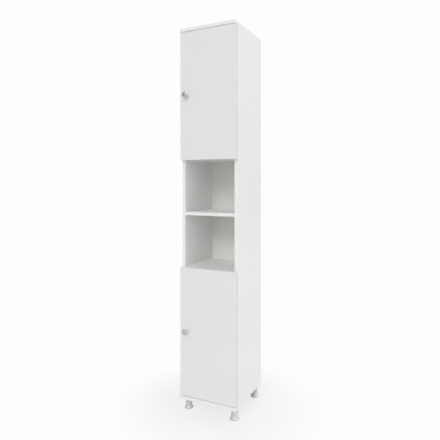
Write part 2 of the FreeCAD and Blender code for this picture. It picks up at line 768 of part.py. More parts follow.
def door(label, level):
    """Door with its rounded edges, the bores for two hinge cups and the hole for the knob's screw."""
    body = block(label, (DOOR_LEFT_X, DOOR_FRONT_Y, level), DOOR_WIDTH, "door_board", "door_height")
    soften(body, "door_round")
    back = "( 0 - door_board )"
    axis = f"( {DOOR_WIDTH} - {CUP_AXIS_IN} )"
    cups = [(axis, height) for height in HINGE_LEVELS.values()]
    drill(body, "XZ_Plane", back, cups, "( 2 * cup_radius )", "( cup_depth + seat_play )", True)
    screws = []
    for height in HINGE_LEVELS.values():
        for side in ("-", "+"):
            screws.append((f"( {axis} - ear_offset )", f"( {height} {side} ear_spacing / 2 )"))
    drill(body, "XZ_Plane", back, screws, "( 2 * wood_screw_radius )", "wood_screw_length", True)
    hole = new_sketch(body, "XZ_Plane", back)
    circle(hole, "knob_inset", KNOB_ON_DOOR, "( 2 * knob_screw_radius + 2 * screw_play )")
    pocket(body, hole, "door_board", along_normal=True)
    return body


def door_furniture():
    """Both doors with their knobs, the screws that hold the knobs, and the buffers."""
    head_rear = "( knob_reach - knob_head )"
    face_rim = "( knob_reach - knob_dome )"
    foot_curve = tangent_radius("( knob_foot_radius - knob_neck_radius )", "( knob_waist - knob_foot )")
    head_curve = tangent_radius("( knob_radius - knob_neck_radius )", f"( {head_rear} - knob_waist )")
    knob = turned("knob_master", (
        ("( knob_screw_radius + thread_play )", "0"),
        ("knob_foot_radius", "0"),
        ("knob_foot_radius", "knob_foot", foot_curve, RIGHT),
        ("knob_neck_radius", "knob_waist", head_curve, RIGHT),
        ("knob_radius", head_rear),
        ("knob_radius", face_rim, tangent_radius("knob_dome", "knob_radius"), LEFT),
        ("0", "knob_reach"),
        ("0", "knob_screw_grip"),
        ("( knob_screw_radius + thread_play )", "knob_screw_grip"),
    ))
    round_rim(knob, "knob_round", "knob_radius", face_rim)
    round_rim(knob, "knob_rear_round", "knob_radius", head_rear)
    shank = "( door_board + knob_screw_grip - screw_play )"
    screw = turned("knob_screw_master", screw_profile(
        "knob_screw_radius", shank, "knob_screw_head", "knob_screw_rise"))
    buffer = turned("buffer_master", (
        ("0", "0"),
        ("buffer_radius", "0"),
        ("buffer_radius", "( side_gap / 2 )"),
        ("( buffer_radius - side_gap / 2 )", "( side_gap - seat_play )"),
        ("0", "( side_gap - seat_play )"),
    ))
    nodes = []
    for name, level in DOOR_HEIGHTS.items():
        nodes.append(door(name + "_door", level))
        knob_z = f"( {level} + {KNOB_ON_DOOR} )"
        nodes.append(copies(name + "_knob", knob, [(KNOB_X, DOOR_FRONT_Y, knob_z, 90.0, X_AXIS)]))
        nodes.append(copies(name + "_knob_screw", screw, [(KNOB_X, DOOR_BACK_Y, knob_z, -90.0, X_AXIS)]))
        buffer_x = "( board / 2 - cabinet_width / 2 )"
        ends = (f"( {level} + buffer_end )", f"( {level} + door_height - buffer_end )")
        spots = [(buffer_x, DOOR_BACK_Y, z, -90.0, X_AXIS) for z in ends]
        nodes.append(copies(name + "_door_buffers", buffer, spots))
    return nodes


# ---------------------------------------------------------------- hinges

# A hinge's own frame has its origin at the door's rear right corner, halfway up the hinge.
PIVOTS = {
    "link_on_arm": ("( 0 - link_pivot_in )", "link_pivot_back"),
    "link_in_cup": ("( 0 - cup_pivot_in )", "( 0 - cup_pivot_deep )"),
    "slot_on_arm": ("( 0 - slot_pivot_in )", "slot_pivot_back"),
    "rim_in_cup": ("( 0 - rim_pivot_in )", "( 0 - rim_pivot_deep )"),
}


def box(label, x, y, z, wide, deep, high):
    """Part box with its low corner at x, y, z."""
    made = doc.addObject("Part::Box", label)
    bind(made, Length=wide, Width=deep, Height=high)
    return place(made, x, y, z)


def fused(label, pieces):
    """Fuse pieces into one solid and drop the seams."""
    made = doc.addObject("Part::MultiFuse", label)
    made.Shapes = pieces
    made.Refine = True
    return made


def cut(label, base, tool):
    """Cut one piece out of another."""
    made = doc.addObject("Part::Cut", label)
    made.Base = base
    made.Tool = tool
    made.Refine = True
    return made


def upright_bar(label, pivot, radius, low, high):
    """Round bar along the pivot's axis, from height low to height high."""
    x, y = pivot
    return cylinder(label, radius, f"( {high} - {low} )", x, y, low)


def hinge_cup():
    """Cup with its flange, screw ears and the two lugs that carry the pivots inside it."""
    axis_x = f"( 0 - {CUP_AXIS_IN} )"
    outer = cylinder("cup_shell", "( cup_radius - thread_play )", "cup_depth",
                     axis_x, "( 0 - cup_depth )", "0", Y_AXIS)
    flange = cylinder("cup_flange", "flange_radius", "flange_board", axis_x, "0", "0", Y_AXIS)
    ear_x = f"( 0 - {CUP_AXIS_IN} - ear_offset )"
    bridge = box("cup_ear_bridge", f"( {ear_x} - ear_radius )", "0", "( 0 - ear_spacing / 2 )",
                 "( 2 * ear_radius )", "flange_board", "ear_spacing")
    ears = [cylinder("cup_ear_" + name, "ear_radius", "flange_board", ear_x, "0", z, Y_AXIS)
            for name, z in (("low", "( 0 - ear_spacing / 2 )"), ("high", "( ear_spacing / 2 )"))]
    body = fused("cup_body", [outer, flange, bridge] + ears)
    hollow = cylinder("cup_hollow", "( cup_radius - cup_wall )", "( cup_depth - cup_wall + flange_board )",
                      axis_x, "( cup_wall - cup_depth )", "0", Y_AXIS)
    lugs = []
    for name, z in (("low", "( 0 - cup_radius )"), ("high", "lug_span")):
        lugs.append(box("cup_lug_" + name, "( 0 - rim_pivot_in - lug_width / 2 )", "( 0 - cup_depth )", z,
                        "cup_radius", "( cup_depth - lug_depth )", "( cup_radius - lug_span )"))
    free = cut("cup_free_space", hollow, fused("cup_lugs", lugs))
    open_cup = cut("cup_open", body, free)
    holes = [
        upright_bar("cup_link_hole", PIVOTS["link_in_cup"], "( hinge_pin_radius + pin_play )",
                    "( 0 - hinge_pin_half )", "hinge_pin_half"),
        upright_bar("cup_rim_hole", PIVOTS["rim_in_cup"], "( hinge_pin_radius + pin_play )",
                    "( 0 - hinge_pin_half )", "hinge_pin_half"),
    ]
    for name, z in (("low", "( 0 - ear_spacing / 2 )"), ("high", "( ear_spacing / 2 )")):
        holes.append(cylinder("cup_screw_hole_" + name, "( wood_screw_radius + screw_play )", "flange_board",
                              ear_x, "0", z, Y_AXIS))
    return cut("hinge_cup_master", open_cup, fused("cup_holes", holes))


def tapered_strip(start, start_radius, end, end_radius, low, high):
    """Flat strip that wraps two upright round bars of given radii, between two heights."""
    run = end - start
    lean = (start_radius - end_radius) / run.Length
    along = V(run).normalize()
    across = UP.cross(along)
    sine = (1 - lean * lean) ** 0.5
    corners = []
    for side, centre, radius in ((1, start, start_radius), (1, end, end_radius),
                                 (-1, end, end_radius), (-1, start, start_radius)):
        corners.append(centre + (along * lean + across * (side * sine)) * radius)
    face = Part.Face(Part.makePolygon(corners + corners[:1]))
    face.translate(UP * low)
    strip = face.extrude(UP * (high - low))
    for centre, radius in ((start, start_radius), (end, end_radius)):
        strip = strip.fuse(Part.makeCylinder(radius, high - low, centre + UP * low))
    return strip


def chain_of_strips(joints, low, high):
    """Strips through a row of (point, radius) joints, fused to one solid."""
    whole = None
    for (start, start_radius), (end, end_radius) in zip(joints, joints[1:]):
        strip = tapered_strip(start, start_radius, end, end_radius, low, high)
        whole = strip if whole is None else whole.fuse(strip)
    return whole.removeSplitter()


def both_ways(low, high):
    """The same layer above and below the hinge's middle."""
    return ((low, high), (-high, -low))


def feature_of(label, shape):
    """Put a finished shape in the document."""
    made = doc.addObject("Part::Feature", label)
    made.Shape = shape
    return made


def pivot_point(name):
    """Pivot of the linkage as a point of the hinge's own frame."""
    x, y = PIVOTS[name]
    return V(value_of(x), value_of(y), 0)


def outer_link():
    """Long bent link between the arm and the deep pivot in the cup."""
    half, eye, half_high, knee_in, knee_deep = numbers(
        "strip_half_width", "eye_radius", "outer_link_half", "outer_knee_in", "outer_knee_deep")
    pin, play, arm_near, rail_play = numbers("hinge_pin_radius", "pin_play", "arm_near", "rail_play")
    start, end = pivot_point("link_in_cup"), pivot_point("link_on_arm")
    joints = [(start, eye), (V(-knee_in, -knee_deep, 0), half), (end, eye)]
    whole = chain_of_strips(joints, -half_high, half_high)
    boss_half = arm_near - rail_play
    whole = whole.fuse(Part.makeCylinder(eye, 2 * boss_half, end - UP * boss_half)).removeSplitter()
    for centre in (start, end):
        whole = whole.cut(Part.makeCylinder(pin + play, 4 * boss_half, centre - UP * (2 * boss_half)))
    return feature_of("outer_link_master", whole)


def slot_frame():
    """Middle of the inner link's slot and the direction that its pin slides in."""
    run, rise, tilt = numbers("slot_run", "slot_rise", "slot_tilt")
    turn = FreeCAD.Rotation(UP, -tilt)
    return pivot_point("rim_in_cup") + V(-run, rise, 0), turn.multVec(X_AXIS)


def inner_link():
    """Link with two cheeks between the cup's outer pivot and the slot on the arm's front pin."""
    half, eye, near, far = numbers("strip_half_width", "eye_radius", "cheek_near", "cheek_far")
    knee_in, knee_deep = numbers("inner_knee_in", "inner_knee_deep")
    pin, play = numbers("hinge_pin_radius", "pin_play")
    path, slot_play, rim, offset, bridge = numbers(
        "slot_path", "slot_play", "slot_rim", "bridge_offset", "bridge_radius")
    middle, along = slot_frame()
    pivot = pivot_point("rim_in_cup")
    slot_radius = pin + slot_play
    ends = [middle - along * (path / 2), middle + along * (path / 2)]
    knee = V(-knee_in, -knee_deep, 0)
    joints = [(ends[0], slot_radius + rim), (ends[1], slot_radius + rim), (knee, half), (pivot, eye)]
    whole = None
    for low, high in both_ways(near, far):
        cheek = chain_of_strips(joints, low, high)
        slot = tapered_strip(ends[0], slot_radius, ends[1], slot_radius, low, high)
        cheek = cheek.cut(slot).cut(Part.makeCylinder(pin + play, high - low, pivot + UP * low))
        whole = cheek if whole is None else whole.fuse(cheek)
    towards_knee = V(knee - middle).normalize()
    spot = middle + towards_knee * offset
    whole = whole.fuse(Part.makeCylinder(bridge, 2 * near, spot - UP * near)).removeSplitter()
    return feature_of("inner_link_master", whole)


def hinge_arm():
    """Pressed channel from the two front pivots back over the rail of the mounting plate."""
    near, wall, nose, web_in, open_in = numbers(
        "arm_near", "arm_sheet", "arm_nose_radius", "arm_web_in", "arm_open_in")
    web_start, end_back = numbers("arm_web_start", "arm_end_back")
    pin, play = numbers("hinge_pin_radius", "pin_play")
    screw, screw_play, front, rear = numbers(
        "set_screw_radius", "screw_play", "set_screw_front", "set_screw_rear")
    slot_pin, link_pin = pivot_point("slot_on_arm"), pivot_point("link_on_arm")
    shoulder = V(-web_in + nose, web_start, 0)
    heel = V(-open_in - nose, web_start + nose, 0)
    half_high = near + wall
    long = end_back - web_start
    whole = Part.makeBox(wall, long, 2 * half_high, V(-web_in, web_start, -half_high))
    for low, high in both_ways(near, half_high):
        cheek = Part.makeBox(web_in - open_in, long, high - low, V(-web_in, web_start, low))
        for start, end in ((slot_pin, link_pin), (slot_pin, shoulder),
                           (link_pin, heel), (link_pin, shoulder)):
            cheek = cheek.fuse(tapered_strip(start, nose, end, nose, low, high))
        for centre in (slot_pin, link_pin):
            cheek = cheek.cut(Part.makeCylinder(pin + play, high - low, centre + UP * low))
        whole = whole.fuse(cheek)
    hole = screw + screw_play
    for back in (front, rear):
        whole = whole.cut(Part.makeCylinder(hole, wall, V(-web_in, back, 0), X_AXIS))
    rear_slot = Part.makeBox(wall, end_back - rear, 2 * hole, V(-web_in, rear, -hole))
    return feature_of("hinge_arm_master", whole.cut(rear_slot).removeSplitter())


def mounting_plate():
    """Plate on the side panel with two screw wings and the rail that the arm clips over."""
    face = f"( 0 - {PANEL_FACE_IN} )"
    middle = "( side_gap + plate_setback )"
    rear_face = f"( {face} - plate_board )"
    ends = (("low", "( 0 - plate_screw_pitch / 2 )"), ("high", "( plate_screw_pitch / 2 )"))
    wing = box("plate_wing", rear_face, f"( {middle} - plate_wing_radius )", "( 0 - plate_screw_pitch / 2 )",
               "plate_board", "( 2 * plate_wing_radius )", "plate_screw_pitch")
    wing_ends = [cylinder("plate_end_" + name, "plate_wing_radius", "plate_board",
                          rear_face, middle, z, X_AXIS) for name, z in ends]
    rail_half = "( arm_near - rail_play )"
    rail_wide = f"( arm_web_in - arm_sheet + {face} )"
    rail = box("plate_rail", "( arm_sheet - arm_web_in )", "rail_start", f"( 0 - {rail_half} )",
               rail_wide, "( arm_end_back - rail_start )", f"( 2 * {rail_half} )")
    whole = fused("plate_body", [wing, rail] + wing_ends)
    holes = []
    for name, z in ends:
        holes.append(cylinder("plate_hole_" + name, "( wood_screw_radius + screw_play )", "plate_board",
                              rear_face, middle, z, X_AXIS))
    for name, back in (("front", "set_screw_front"), ("rear", "set_screw_rear")):
        holes.append(cylinder("rail_hole_" + name, "( set_screw_radius + thread_play )", "set_screw_reach",
                              "( arm_sheet - arm_web_in )", back, "0", X_AXIS))
    return cut("mounting_plate_master", whole, fused("plate_holes", holes))


def hinge_spots():
    """Place and name of each hinge."""
    spots = {}
    for door_name, level in DOOR_HEIGHTS.items():
        for end, height in HINGE_LEVELS.items():
            spots[f"{door_name}_{end}"] = (HINGE_X, DOOR_BACK_Y, f"( {level} + {height} )")
    return spots


def shifted(spot, dx="0", dy="0", dz="0"):
    """A place moved by expressions."""
    x, y, z = spot
    return (f"( {x} + {dx} )", f"( {y} + {dy} )", f"( {z} + {dz} )")


def hinge_nodes():
    """Four hinges: cup, two links, arm and plate each, with their pins and screws in groups."""
    masters = {
        "hinge_cup": hinge_cup(),
        "outer_link": outer_link(),
        "inner_link": inner_link(),
        "hinge_arm": hinge_arm(),
        "mounting_plate": mounting_plate(),
    }
    bar = cylinder("hinge_pin_master", "hinge_pin_radius", "( 2 * hinge_pin_half )")
    arm_bar = cylinder("arm_pin_master", "hinge_pin_radius", "( 2 * arm_near + 2 * arm_sheet )")
    stub = cylinder("stub_pin_master", "hinge_pin_radius", "( hinge_pin_half - cheek_near )")
    wood_screw = turned("wood_screw_master", screw_profile(
        "wood_screw_radius", "( wood_screw_length - screw_play )", "screw_head_radius", "screw_head"))
    set_screw = turned("set_screw_master", screw_profile(
        "set_screw_radius", "( set_screw_reach - screw_play )", "screw_head_radius", "screw_head"))
    nodes = []
    for name, spot in hinge_spots().items():
        for kind, master in masters.items():
            nodes.append(copies(f"{name}_{kind}", master, [(*spot, 0.0, UP)]))
    arm_pins = []
    plate_screws = []
    arm_screws = []
    for door_name, level in DOOR_HEIGHTS.items():
        cup_pins = []
        cup_screws = []
        stubs = []
        for end in HINGE_LEVELS:
            spot = hinge_spots()[f"{door_name}_{end}"]
            cup_pins.append((*shifted(spot, *PIVOTS["link_in_cup"], "( 0 - hinge_pin_half )"), 0.0, UP))
            stubs.append((*shifted(spot, *PIVOTS["rim_in_cup"], "cheek_near"), 0.0, UP))
            stubs.append((*shifted(spot, *PIVOTS["rim_in_cup"], "( 0 - hinge_pin_half )"), 0.0, UP))
            for pivot in ("link_on_arm", "slot_on_arm"):
                arm_pins.append((*shifted(spot, *PIVOTS[pivot], "( 0 - arm_near - arm_sheet )"), 0.0, UP))
            ear_x = f"( 0 - {CUP_AXIS_IN} - ear_offset )"
            for side in ("", "0 - "):
                ear = f"( {side}ear_spacing / 2 )"
                cup_screws.append((*shifted(spot, ear_x, "flange_board", ear), -90.0, X_AXIS))
                wing = f"( {side}plate_screw_pitch / 2 )"
                face = f"( 0 - {PANEL_FACE_IN} - plate_board )"
                back = "( side_gap + plate_setback )"
                plate_screws.append((*shifted(spot, face, back, wing), -90.0, Y_AXIS))
            for back in ("set_screw_front", "set_screw_rear"):
                arm_screws.append((*shifted(spot, "( 0 - arm_web_in )", back), -90.0, Y_AXIS))
        pins = copies(door_name + "_hinge_cup_pins", bar, cup_pins)
        stub_group = copies(door_name + "_hinge_stub_pins", stub, stubs)
        both = doc.addObject("Part::Compound", door_name + "_cup_pins")
        both.Links = pins.Links + stub_group.Links
        doc.removeObject(pins.Name)
        doc.removeObject(stub_group.Name)
        nodes.append(both)
        nodes.append(copies(door_name + "_cup_screws", wood_screw, cup_screws))
    nodes.append(copies("hinge_arm_pins", arm_bar, arm_pins))
    nodes.append(copies("hinge_plate_screws", wood_screw, plate_screws))
    nodes.append(copies("hinge_arm_screws", set_screw, arm_screws))
    return nodes


# ---------------------------------------------------------------- build, check and export


def check(nodes):
    """Stop if any object failed to compute or any node has no valid shape."""
    doc.recompute()
    for thing in doc.Objects:
        failed = {"Invalid", "Error"} & set(thing.State)
        if failed:
            raise RuntimeError(f"{thing.Label}: {thing.State}")
    for node in nodes:
        shape = Part.getShape(node)
        if shape.isNull() or not shape.isValid() or not shape.Solids:
            raise RuntimeError(f"{node.Label}: no valid shape")


def export(nodes):
    """Write each node to its own file and print what it holds."""
    os.makedirs("parts", exist_ok=True)
    for node in nodes:
        shape = Part.getShape(node)
        shape.exportStep(os.path.join("parts", node.Label + ".step"))
        print(f"{node.Label}: {len(shape.Solids)} solid(s), {shape.Volume / 1000:.2f} cm3")


all_nodes = carcass_nodes + joining_nodes() + foot_nodes() + door_furniture() + hinge_nodes()
check(all_nodes)
export(all_nodes)
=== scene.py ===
"""Dressed scene of a tall bathroom cabinet with two doors, an open niche and four round feet.

Every length is in metres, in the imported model's own frame: +X to the right, +Y to the rear, +Z up.
"""

from __future__ import annotations

import logging
import math
from abc import ABC, abstractmethod
from collections.abc import Iterable, Sequence
from dataclasses import dataclass, field
from enum import Enum

import bmesh
import bpy
from mathutils import Matrix, Vector

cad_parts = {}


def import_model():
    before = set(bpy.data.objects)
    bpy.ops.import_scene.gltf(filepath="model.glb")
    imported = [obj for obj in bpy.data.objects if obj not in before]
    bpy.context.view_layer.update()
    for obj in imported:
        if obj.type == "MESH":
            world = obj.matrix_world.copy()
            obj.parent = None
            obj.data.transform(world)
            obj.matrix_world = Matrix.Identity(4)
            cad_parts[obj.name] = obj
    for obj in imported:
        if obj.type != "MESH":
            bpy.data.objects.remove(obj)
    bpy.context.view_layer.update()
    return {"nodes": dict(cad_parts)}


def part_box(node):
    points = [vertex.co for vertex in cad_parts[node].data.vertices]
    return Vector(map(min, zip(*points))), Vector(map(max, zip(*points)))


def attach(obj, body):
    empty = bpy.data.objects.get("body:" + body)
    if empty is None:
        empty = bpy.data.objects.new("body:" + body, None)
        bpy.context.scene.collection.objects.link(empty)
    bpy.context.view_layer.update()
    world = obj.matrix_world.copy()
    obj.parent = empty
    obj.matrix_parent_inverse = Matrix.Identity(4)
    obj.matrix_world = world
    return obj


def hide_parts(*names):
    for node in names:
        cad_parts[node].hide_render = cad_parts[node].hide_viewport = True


LOG = logging.getLogger("cabinet")
Colour = tuple[float, float, float]
Point = tuple[float, float]
Node = bpy.types.Node
Socket = bpy.types.NodeSocket
Form = bmesh.types.BMesh

UP = Vector((0.0, 0.0, 1.0))
FORWARD = Vector((0.0, -1.0, 0.0))
REARWARD = Vector((0.0, 1.0, 0.0))
LEFTWARD = Vector((-1.0, 0.0, 0.0))
WHITE = (1.0, 1.0, 1.0, 1.0)

HINGE_ENDS = ("bottom", "top")
HINGE_INSET = 0.100  # from each end of a door to the middle of the hinge there
BOTH_SIDES = (-0.5, 0.5)  # where two equal things sit, in shares of their spacing
CREASE = math.radians(35.0)  # least angle of an edge that stays sharp
MERGE_DISTANCE = 1e-6
NOISE_LOW, NOISE_HIGH = 0.3, 0.7  # a noise seldom leaves this range
LINE_STRETCH = (0.04, 0.04, 1.0)  # the lines of metal run across Z
GRAIN_STRETCH = (1.0, 1.0, 0.12)  # the grain of wood runs along Z


class DoorName(Enum):
    """The two doors of the cabinet."""

    UPPER = "upper"
    LOWER = "lower"


class FootName(Enum):
    """The four corners that stand on feet."""

    FRONT_LEFT = "front_left"
    FRONT_RIGHT = "front_right"
    REAR_LEFT = "rear_left"
    REAR_RIGHT = "rear_right"


class Slot(Enum):
    """Names of material slots of the record."""

    CHROME = "chrome"
    ZINC = "zinc_steel"
    FOOT_METAL = "foot_metal"
    FOOT_PLASTIC = "foot_plastic"
    BUFFER = "buffer_rubber"


# ---------------------------------------------------------------- shader effects shared by finishes


class ShaderGraph:
    """Short way to add and join the nodes of one node tree."""

    def __init__(self, tree: bpy.types.NodeTree) -> None:
        """Take hold of a tree.

        Args:
            tree: The node tree of a material or a group.
        """
        self.tree = tree

    def add(self, kind: str, **values: object) -> Node:
        """Add a node and set its properties.

        Args:
            kind: Blender's name of the node type.
            values: Properties of the node and their values.

        Returns:
            The new node.
        """
        node = self.tree.nodes.new(kind)
        for name, value in values.items():
            setattr(node, name, value)
        return node

    def join(self, source: Socket, target: Socket) -> None:
        """Link an output socket to an input socket.

        Args:
            source: The output.
            target: The input.
        """
        self.tree.links.new(source, target)

    def blend(self, share: Socket, first: Socket, second: Socket) -> Socket:
        """Mix two shaders.

        Args:
            share: Share of the second shader.
            first: Output of the first shader.
            second: Output of the second shader.

        Returns:
            The mixed shader's output.
        """
        node = self.add("ShaderNodeMixShader")
        self.join(share, node.inputs[0])
        self.join(first, node.inputs[1])
        self.join(second, node.inputs[2])
        return node.outputs["Shader"]

    def stretched(self, vector: Socket, scale: tuple[float, float, float]) -> Socket:
        """Scale coordinates along each axis.

        Args:
            vector: The coordinates.
            scale: Factor of each axis.

        Returns:
            The scaled coordinates.
        """
        node = self.add("ShaderNodeMapping")
        node.inputs["Scale"].default_value = scale
        self.join(vector, node.inputs["Vector"])
        return node.outputs["Vector"]

    def noise(self, vector: Socket, scale: Socket | float, detail: float,
              roughness: float = 0.5) -> Socket:
        """Add a noise texture.

        Args:
            vector: Coordinates that the texture reads.
            scale: Scale of the texture in cycles per metre, as a number or an output.
            detail: Number of octaves.
            roughness: Weight of each octave beside the one before it.

        Returns:
            The texture's factor output.
        """
        node = self.add("ShaderNodeTexNoise")
        node.inputs["Detail"].default_value = detail
        node.inputs["Roughness"].default_value = roughness
        self.join(vector, node.inputs["Vector"])
        if isinstance(scale, float):
            node.inputs["Scale"].default_value = scale
        else:
            self.join(scale, node.inputs["Scale"])
        return node.outputs["Fac"]

    def remap(self, value: Socket, low: float, high: float) -> Socket:
        """Spread the middle part of a noise over a range.

        Args:
            value: The noise.
            low: Result at NOISE_LOW and below.
            high: Result at NOISE_HIGH and above.

        Returns:
            The remapped output.
        """
        node = self.add("ShaderNodeMapRange")
        node.inputs["From Min"].default_value = NOISE_LOW
        node.inputs["From Max"].default_value = NOISE_HIGH
        node.inputs["To Min"].default_value = low
        node.inputs["To Max"].default_value = high
        self.join(value, node.inputs["Value"])
        return node.outputs["Result"]


def shader_group(name: str, scales: dict[str, float],
                 masks: Sequence[str]) -> tuple[ShaderGraph, Node, Node]:
    """Start a node group that reads coordinates and scales and gives masks.

    Args:
        name: Name of the group.
        scales: Name and first value of each scale.
        masks: Name of each mask.

    Returns:
        The group's graph, its input node and its output node.
    """
    tree = bpy.data.node_groups.new(name, "ShaderNodeTree")
    tree.interface.new_socket(name="Vector", in_out="INPUT", socket_type="NodeSocketVector")
    for label, value in scales.items():
        socket = tree.interface.new_socket(
            name=label, in_out="INPUT", socket_type="NodeSocketFloat")
        socket.default_value = value
    for label in masks:
        tree.interface.new_socket(name=label, in_out="OUTPUT", socket_type="NodeSocketFloat")
    graph = ShaderGraph(tree)
    return graph, graph.add("NodeGroupInput"), graph.add("NodeGroupOutput")


def sprayed_skin_group() -> bpy.types.NodeTree:
    """Build the skin of sprayed lacquer: a fine orange peel and slow changes of tone.

    Returns:
        The node group.
    """
    graph, source, result = shader_group(
        "sprayed_skin", {"Peel Scale": 900.0, "Drift Scale": 6.0}, ("Peel", "Drift"))
    vector = source.outputs["Vector"]
    peel = graph.noise(vector, source.outputs["Peel Scale"], detail=2.0)
    drift = graph.noise(vector, source.outputs["Drift Scale"], detail=4.0)
    graph.join(peel, result.inputs["Peel"])
    graph.join(drift, result.inputs["Drift"])
    return graph.tree


def brushed_lines_group() -> bpy.types.NodeTree:
    """Build the fine lines of brushed or drawn metal, and the marks of handling.

    Returns:
        The node group.
    """
    graph, source, result = shader_group(
        "brushed_lines", {"Line Scale": 2500.0, "Mark Scale": 60.0}, ("Lines", "Marks"))
    vector = source.outputs["Vector"]
    drawn = graph.stretched(vector, LINE_STRETCH)
    lines = graph.noise(drawn, source.outputs["Line Scale"], detail=2.0)
    marks = graph.noise(vector, source.outputs["Mark Scale"], detail=5.0, roughness=0.6)
    graph.join(lines, result.inputs["Lines"])
    graph.join(marks, result.inputs["Marks"])
    return graph.tree


@dataclass
class EffectLibrary:
    """Node groups that several finishes place in their materials."""

    skin: bpy.types.NodeTree = field(default_factory=sprayed_skin_group)
    brushed: bpy.types.NodeTree = field(default_factory=brushed_lines_group)


# ---------------------------------------------------------------- finishes


def start_material(name: str) -> tuple[bpy.types.Material, ShaderGraph, Node, Socket]:
    """Make a material with a principled shader and object coordinates.

    Args:
        name: Name of the material.

    Returns:
        The material, its graph, its shader node and the object coordinates.
    """
    material = bpy.data.materials.new(name)
    material.use_nodes = True
    graph = ShaderGraph(material.node_tree)
    shader = material.node_tree.nodes["Principled BSDF"]
    coordinates = graph.add("ShaderNodeTexCoord").outputs["Object"]
    return material, graph, shader, coordinates


def blend_tones(graph: ShaderGraph, factor: Socket, light: Colour, dark: Colour,
                shader: Node) -> None:
    """Mix two tones by a factor into the shader's base colour.

    Args:
        graph: Graph of the material.
        factor: Share of the darker tone.
        light: The lighter tone.
        dark: The darker tone.
        shader: The principled shader.
    """
    mix = graph.add("ShaderNodeMix", data_type="RGBA")
    colour_inputs = [socket for socket in mix.inputs if socket.type == "RGBA"]
    colour_inputs[0].default_value = (*light, 1.0)
    colour_inputs[1].default_value = (*dark, 1.0)
    graph.join(factor, mix.inputs["Factor"])
    colour_output = next(socket for socket in mix.outputs if socket.type == "RGBA")
    graph.join(colour_output, shader.inputs["Base Color"])


def raise_relief(graph: ShaderGraph, height: Socket, distance: float, strength: float,
                 shader: Node) -> None:
    """Turn a height into a bump on the shader's normal.

    Args:
        graph: Graph of the material.
        height: The height, between 0 and 1.
        distance: Real height of the relief, in metres.
        strength: How much of it shows.
        shader: The principled shader.
    """
    bump = graph.add("ShaderNodeBump")
    bump.inputs["Distance"].default_value = distance
    bump.inputs["Strength"].default_value = strength
    graph.join(height, bump.inputs["Height"])
    graph.join(bump.outputs["Normal"], shader.inputs["Normal"])


@dataclass(frozen=True)
class SurfaceFinish(ABC):
    """What every finish has: two tones and a range of roughness."""

    name: str
    light: Colour
    dark: Colour
    smoothest: float
    roughest: float

    @abstractmethod
    def build(self, effects: EffectLibrary) -> bpy.types.Material:
        """Make the material.

        Args:
            effects: Shared node groups.

        Returns:
            The material.
        """

    def vary(self, graph: ShaderGraph, shader: Node, tone: Socket, gloss: Socket) -> None:
        """Let the tone and the roughness follow a noise each.

        Args:
            graph: Graph of the material.
            shader: The principled shader.
            tone: Noise that the tone follows.
            gloss: Noise that the roughness follows.
        """
        blend_tones(graph, graph.remap(tone, 0.0, 1.0), self.light, self.dark, shader)
        roughness = graph.remap(gloss, self.smoothest, self.roughest)
        graph.join(roughness, shader.inputs["Roughness"])


@dataclass(frozen=True)
class LacquerFinish(SurfaceFinish):
    """Satin lacquer or coating on a board."""

    peel_scale: float
    peel_height: float
    coat: float
    coat_roughness: float = 0.18
    relief: float = 0.22

    def build(self, effects: EffectLibrary) -> bpy.types.Material:
        """Make the material.

        Args:
            effects: Shared node groups.

        Returns:
            The material.
        """
        material, graph, shader, coordinates = start_material(self.name)
        skin = graph.add("ShaderNodeGroup", node_tree=effects.skin)
        skin.inputs["Peel Scale"].default_value = self.peel_scale
        graph.join(coordinates, skin.inputs["Vector"])
        self.vary(graph, shader, skin.outputs["Drift"], skin.outputs["Drift"])
        raise_relief(graph, skin.outputs["Peel"], self.peel_height, self.relief, shader)
        shader.inputs["Coat Weight"].default_value = self.coat
        shader.inputs["Coat Roughness"].default_value = self.coat_roughness
        return material


@dataclass(frozen=True)
class MetalFinish(SurfaceFinish):
    """Plated, drawn or polished metal."""

    line_scale: float
    line_height: float
    metallic: float = 1.0
    relief: float = 0.3

    def build(self, effects: EffectLibrary) -> bpy.types.Material:
        """Make the material.

        Args:
            effects: Shared node groups.

        Returns:
            The material.
        """
        material, graph, shader, coordinates = start_material(self.name)
        brushed = graph.add("ShaderNodeGroup", node_tree=effects.brushed)
        brushed.inputs["Line Scale"].default_value = self.line_scale
        graph.join(coordinates, brushed.inputs["Vector"])
        self.vary(graph, shader, brushed.outputs["Marks"], brushed.outputs["Marks"])
        raise_relief(graph, brushed.outputs["Lines"], self.line_height, self.relief, shader)
        shader.inputs["Metallic"].default_value = self.metallic
        return material


@dataclass(frozen=True)
class SoftFinish(SurfaceFinish):
    """Moulded plastic or rubber."""

    glow: float
    glow_depth: float = 0.002
    peel_scale: float = 2200.0
    peel_height: float = 0.00003
    drift_scale: float = 80.0
    relief: float = 0.4

    def build(self, effects: EffectLibrary) -> bpy.types.Material:
        """Make the material.

        Args:
            effects: Shared node groups.

        Returns:
            The material.
        """
        material, graph, shader, coordinates = start_material(self.name)
        skin = graph.add("ShaderNodeGroup", node_tree=effects.skin)
        skin.inputs["Peel Scale"].default_value = self.peel_scale
        skin.inputs["Drift Scale"].default_value = self.drift_scale
        graph.join(coordinates, skin.inputs["Vector"])
        self.vary(graph, shader, skin.outputs["Drift"], skin.outputs["Peel"])
        raise_relief(graph, skin.outputs["Peel"], self.peel_height, self.relief, shader)
        shader.inputs["Subsurface Weight"].default_value = self.glow
        shader.inputs["Subsurface Scale"].default_value = self.glow_depth
        return material


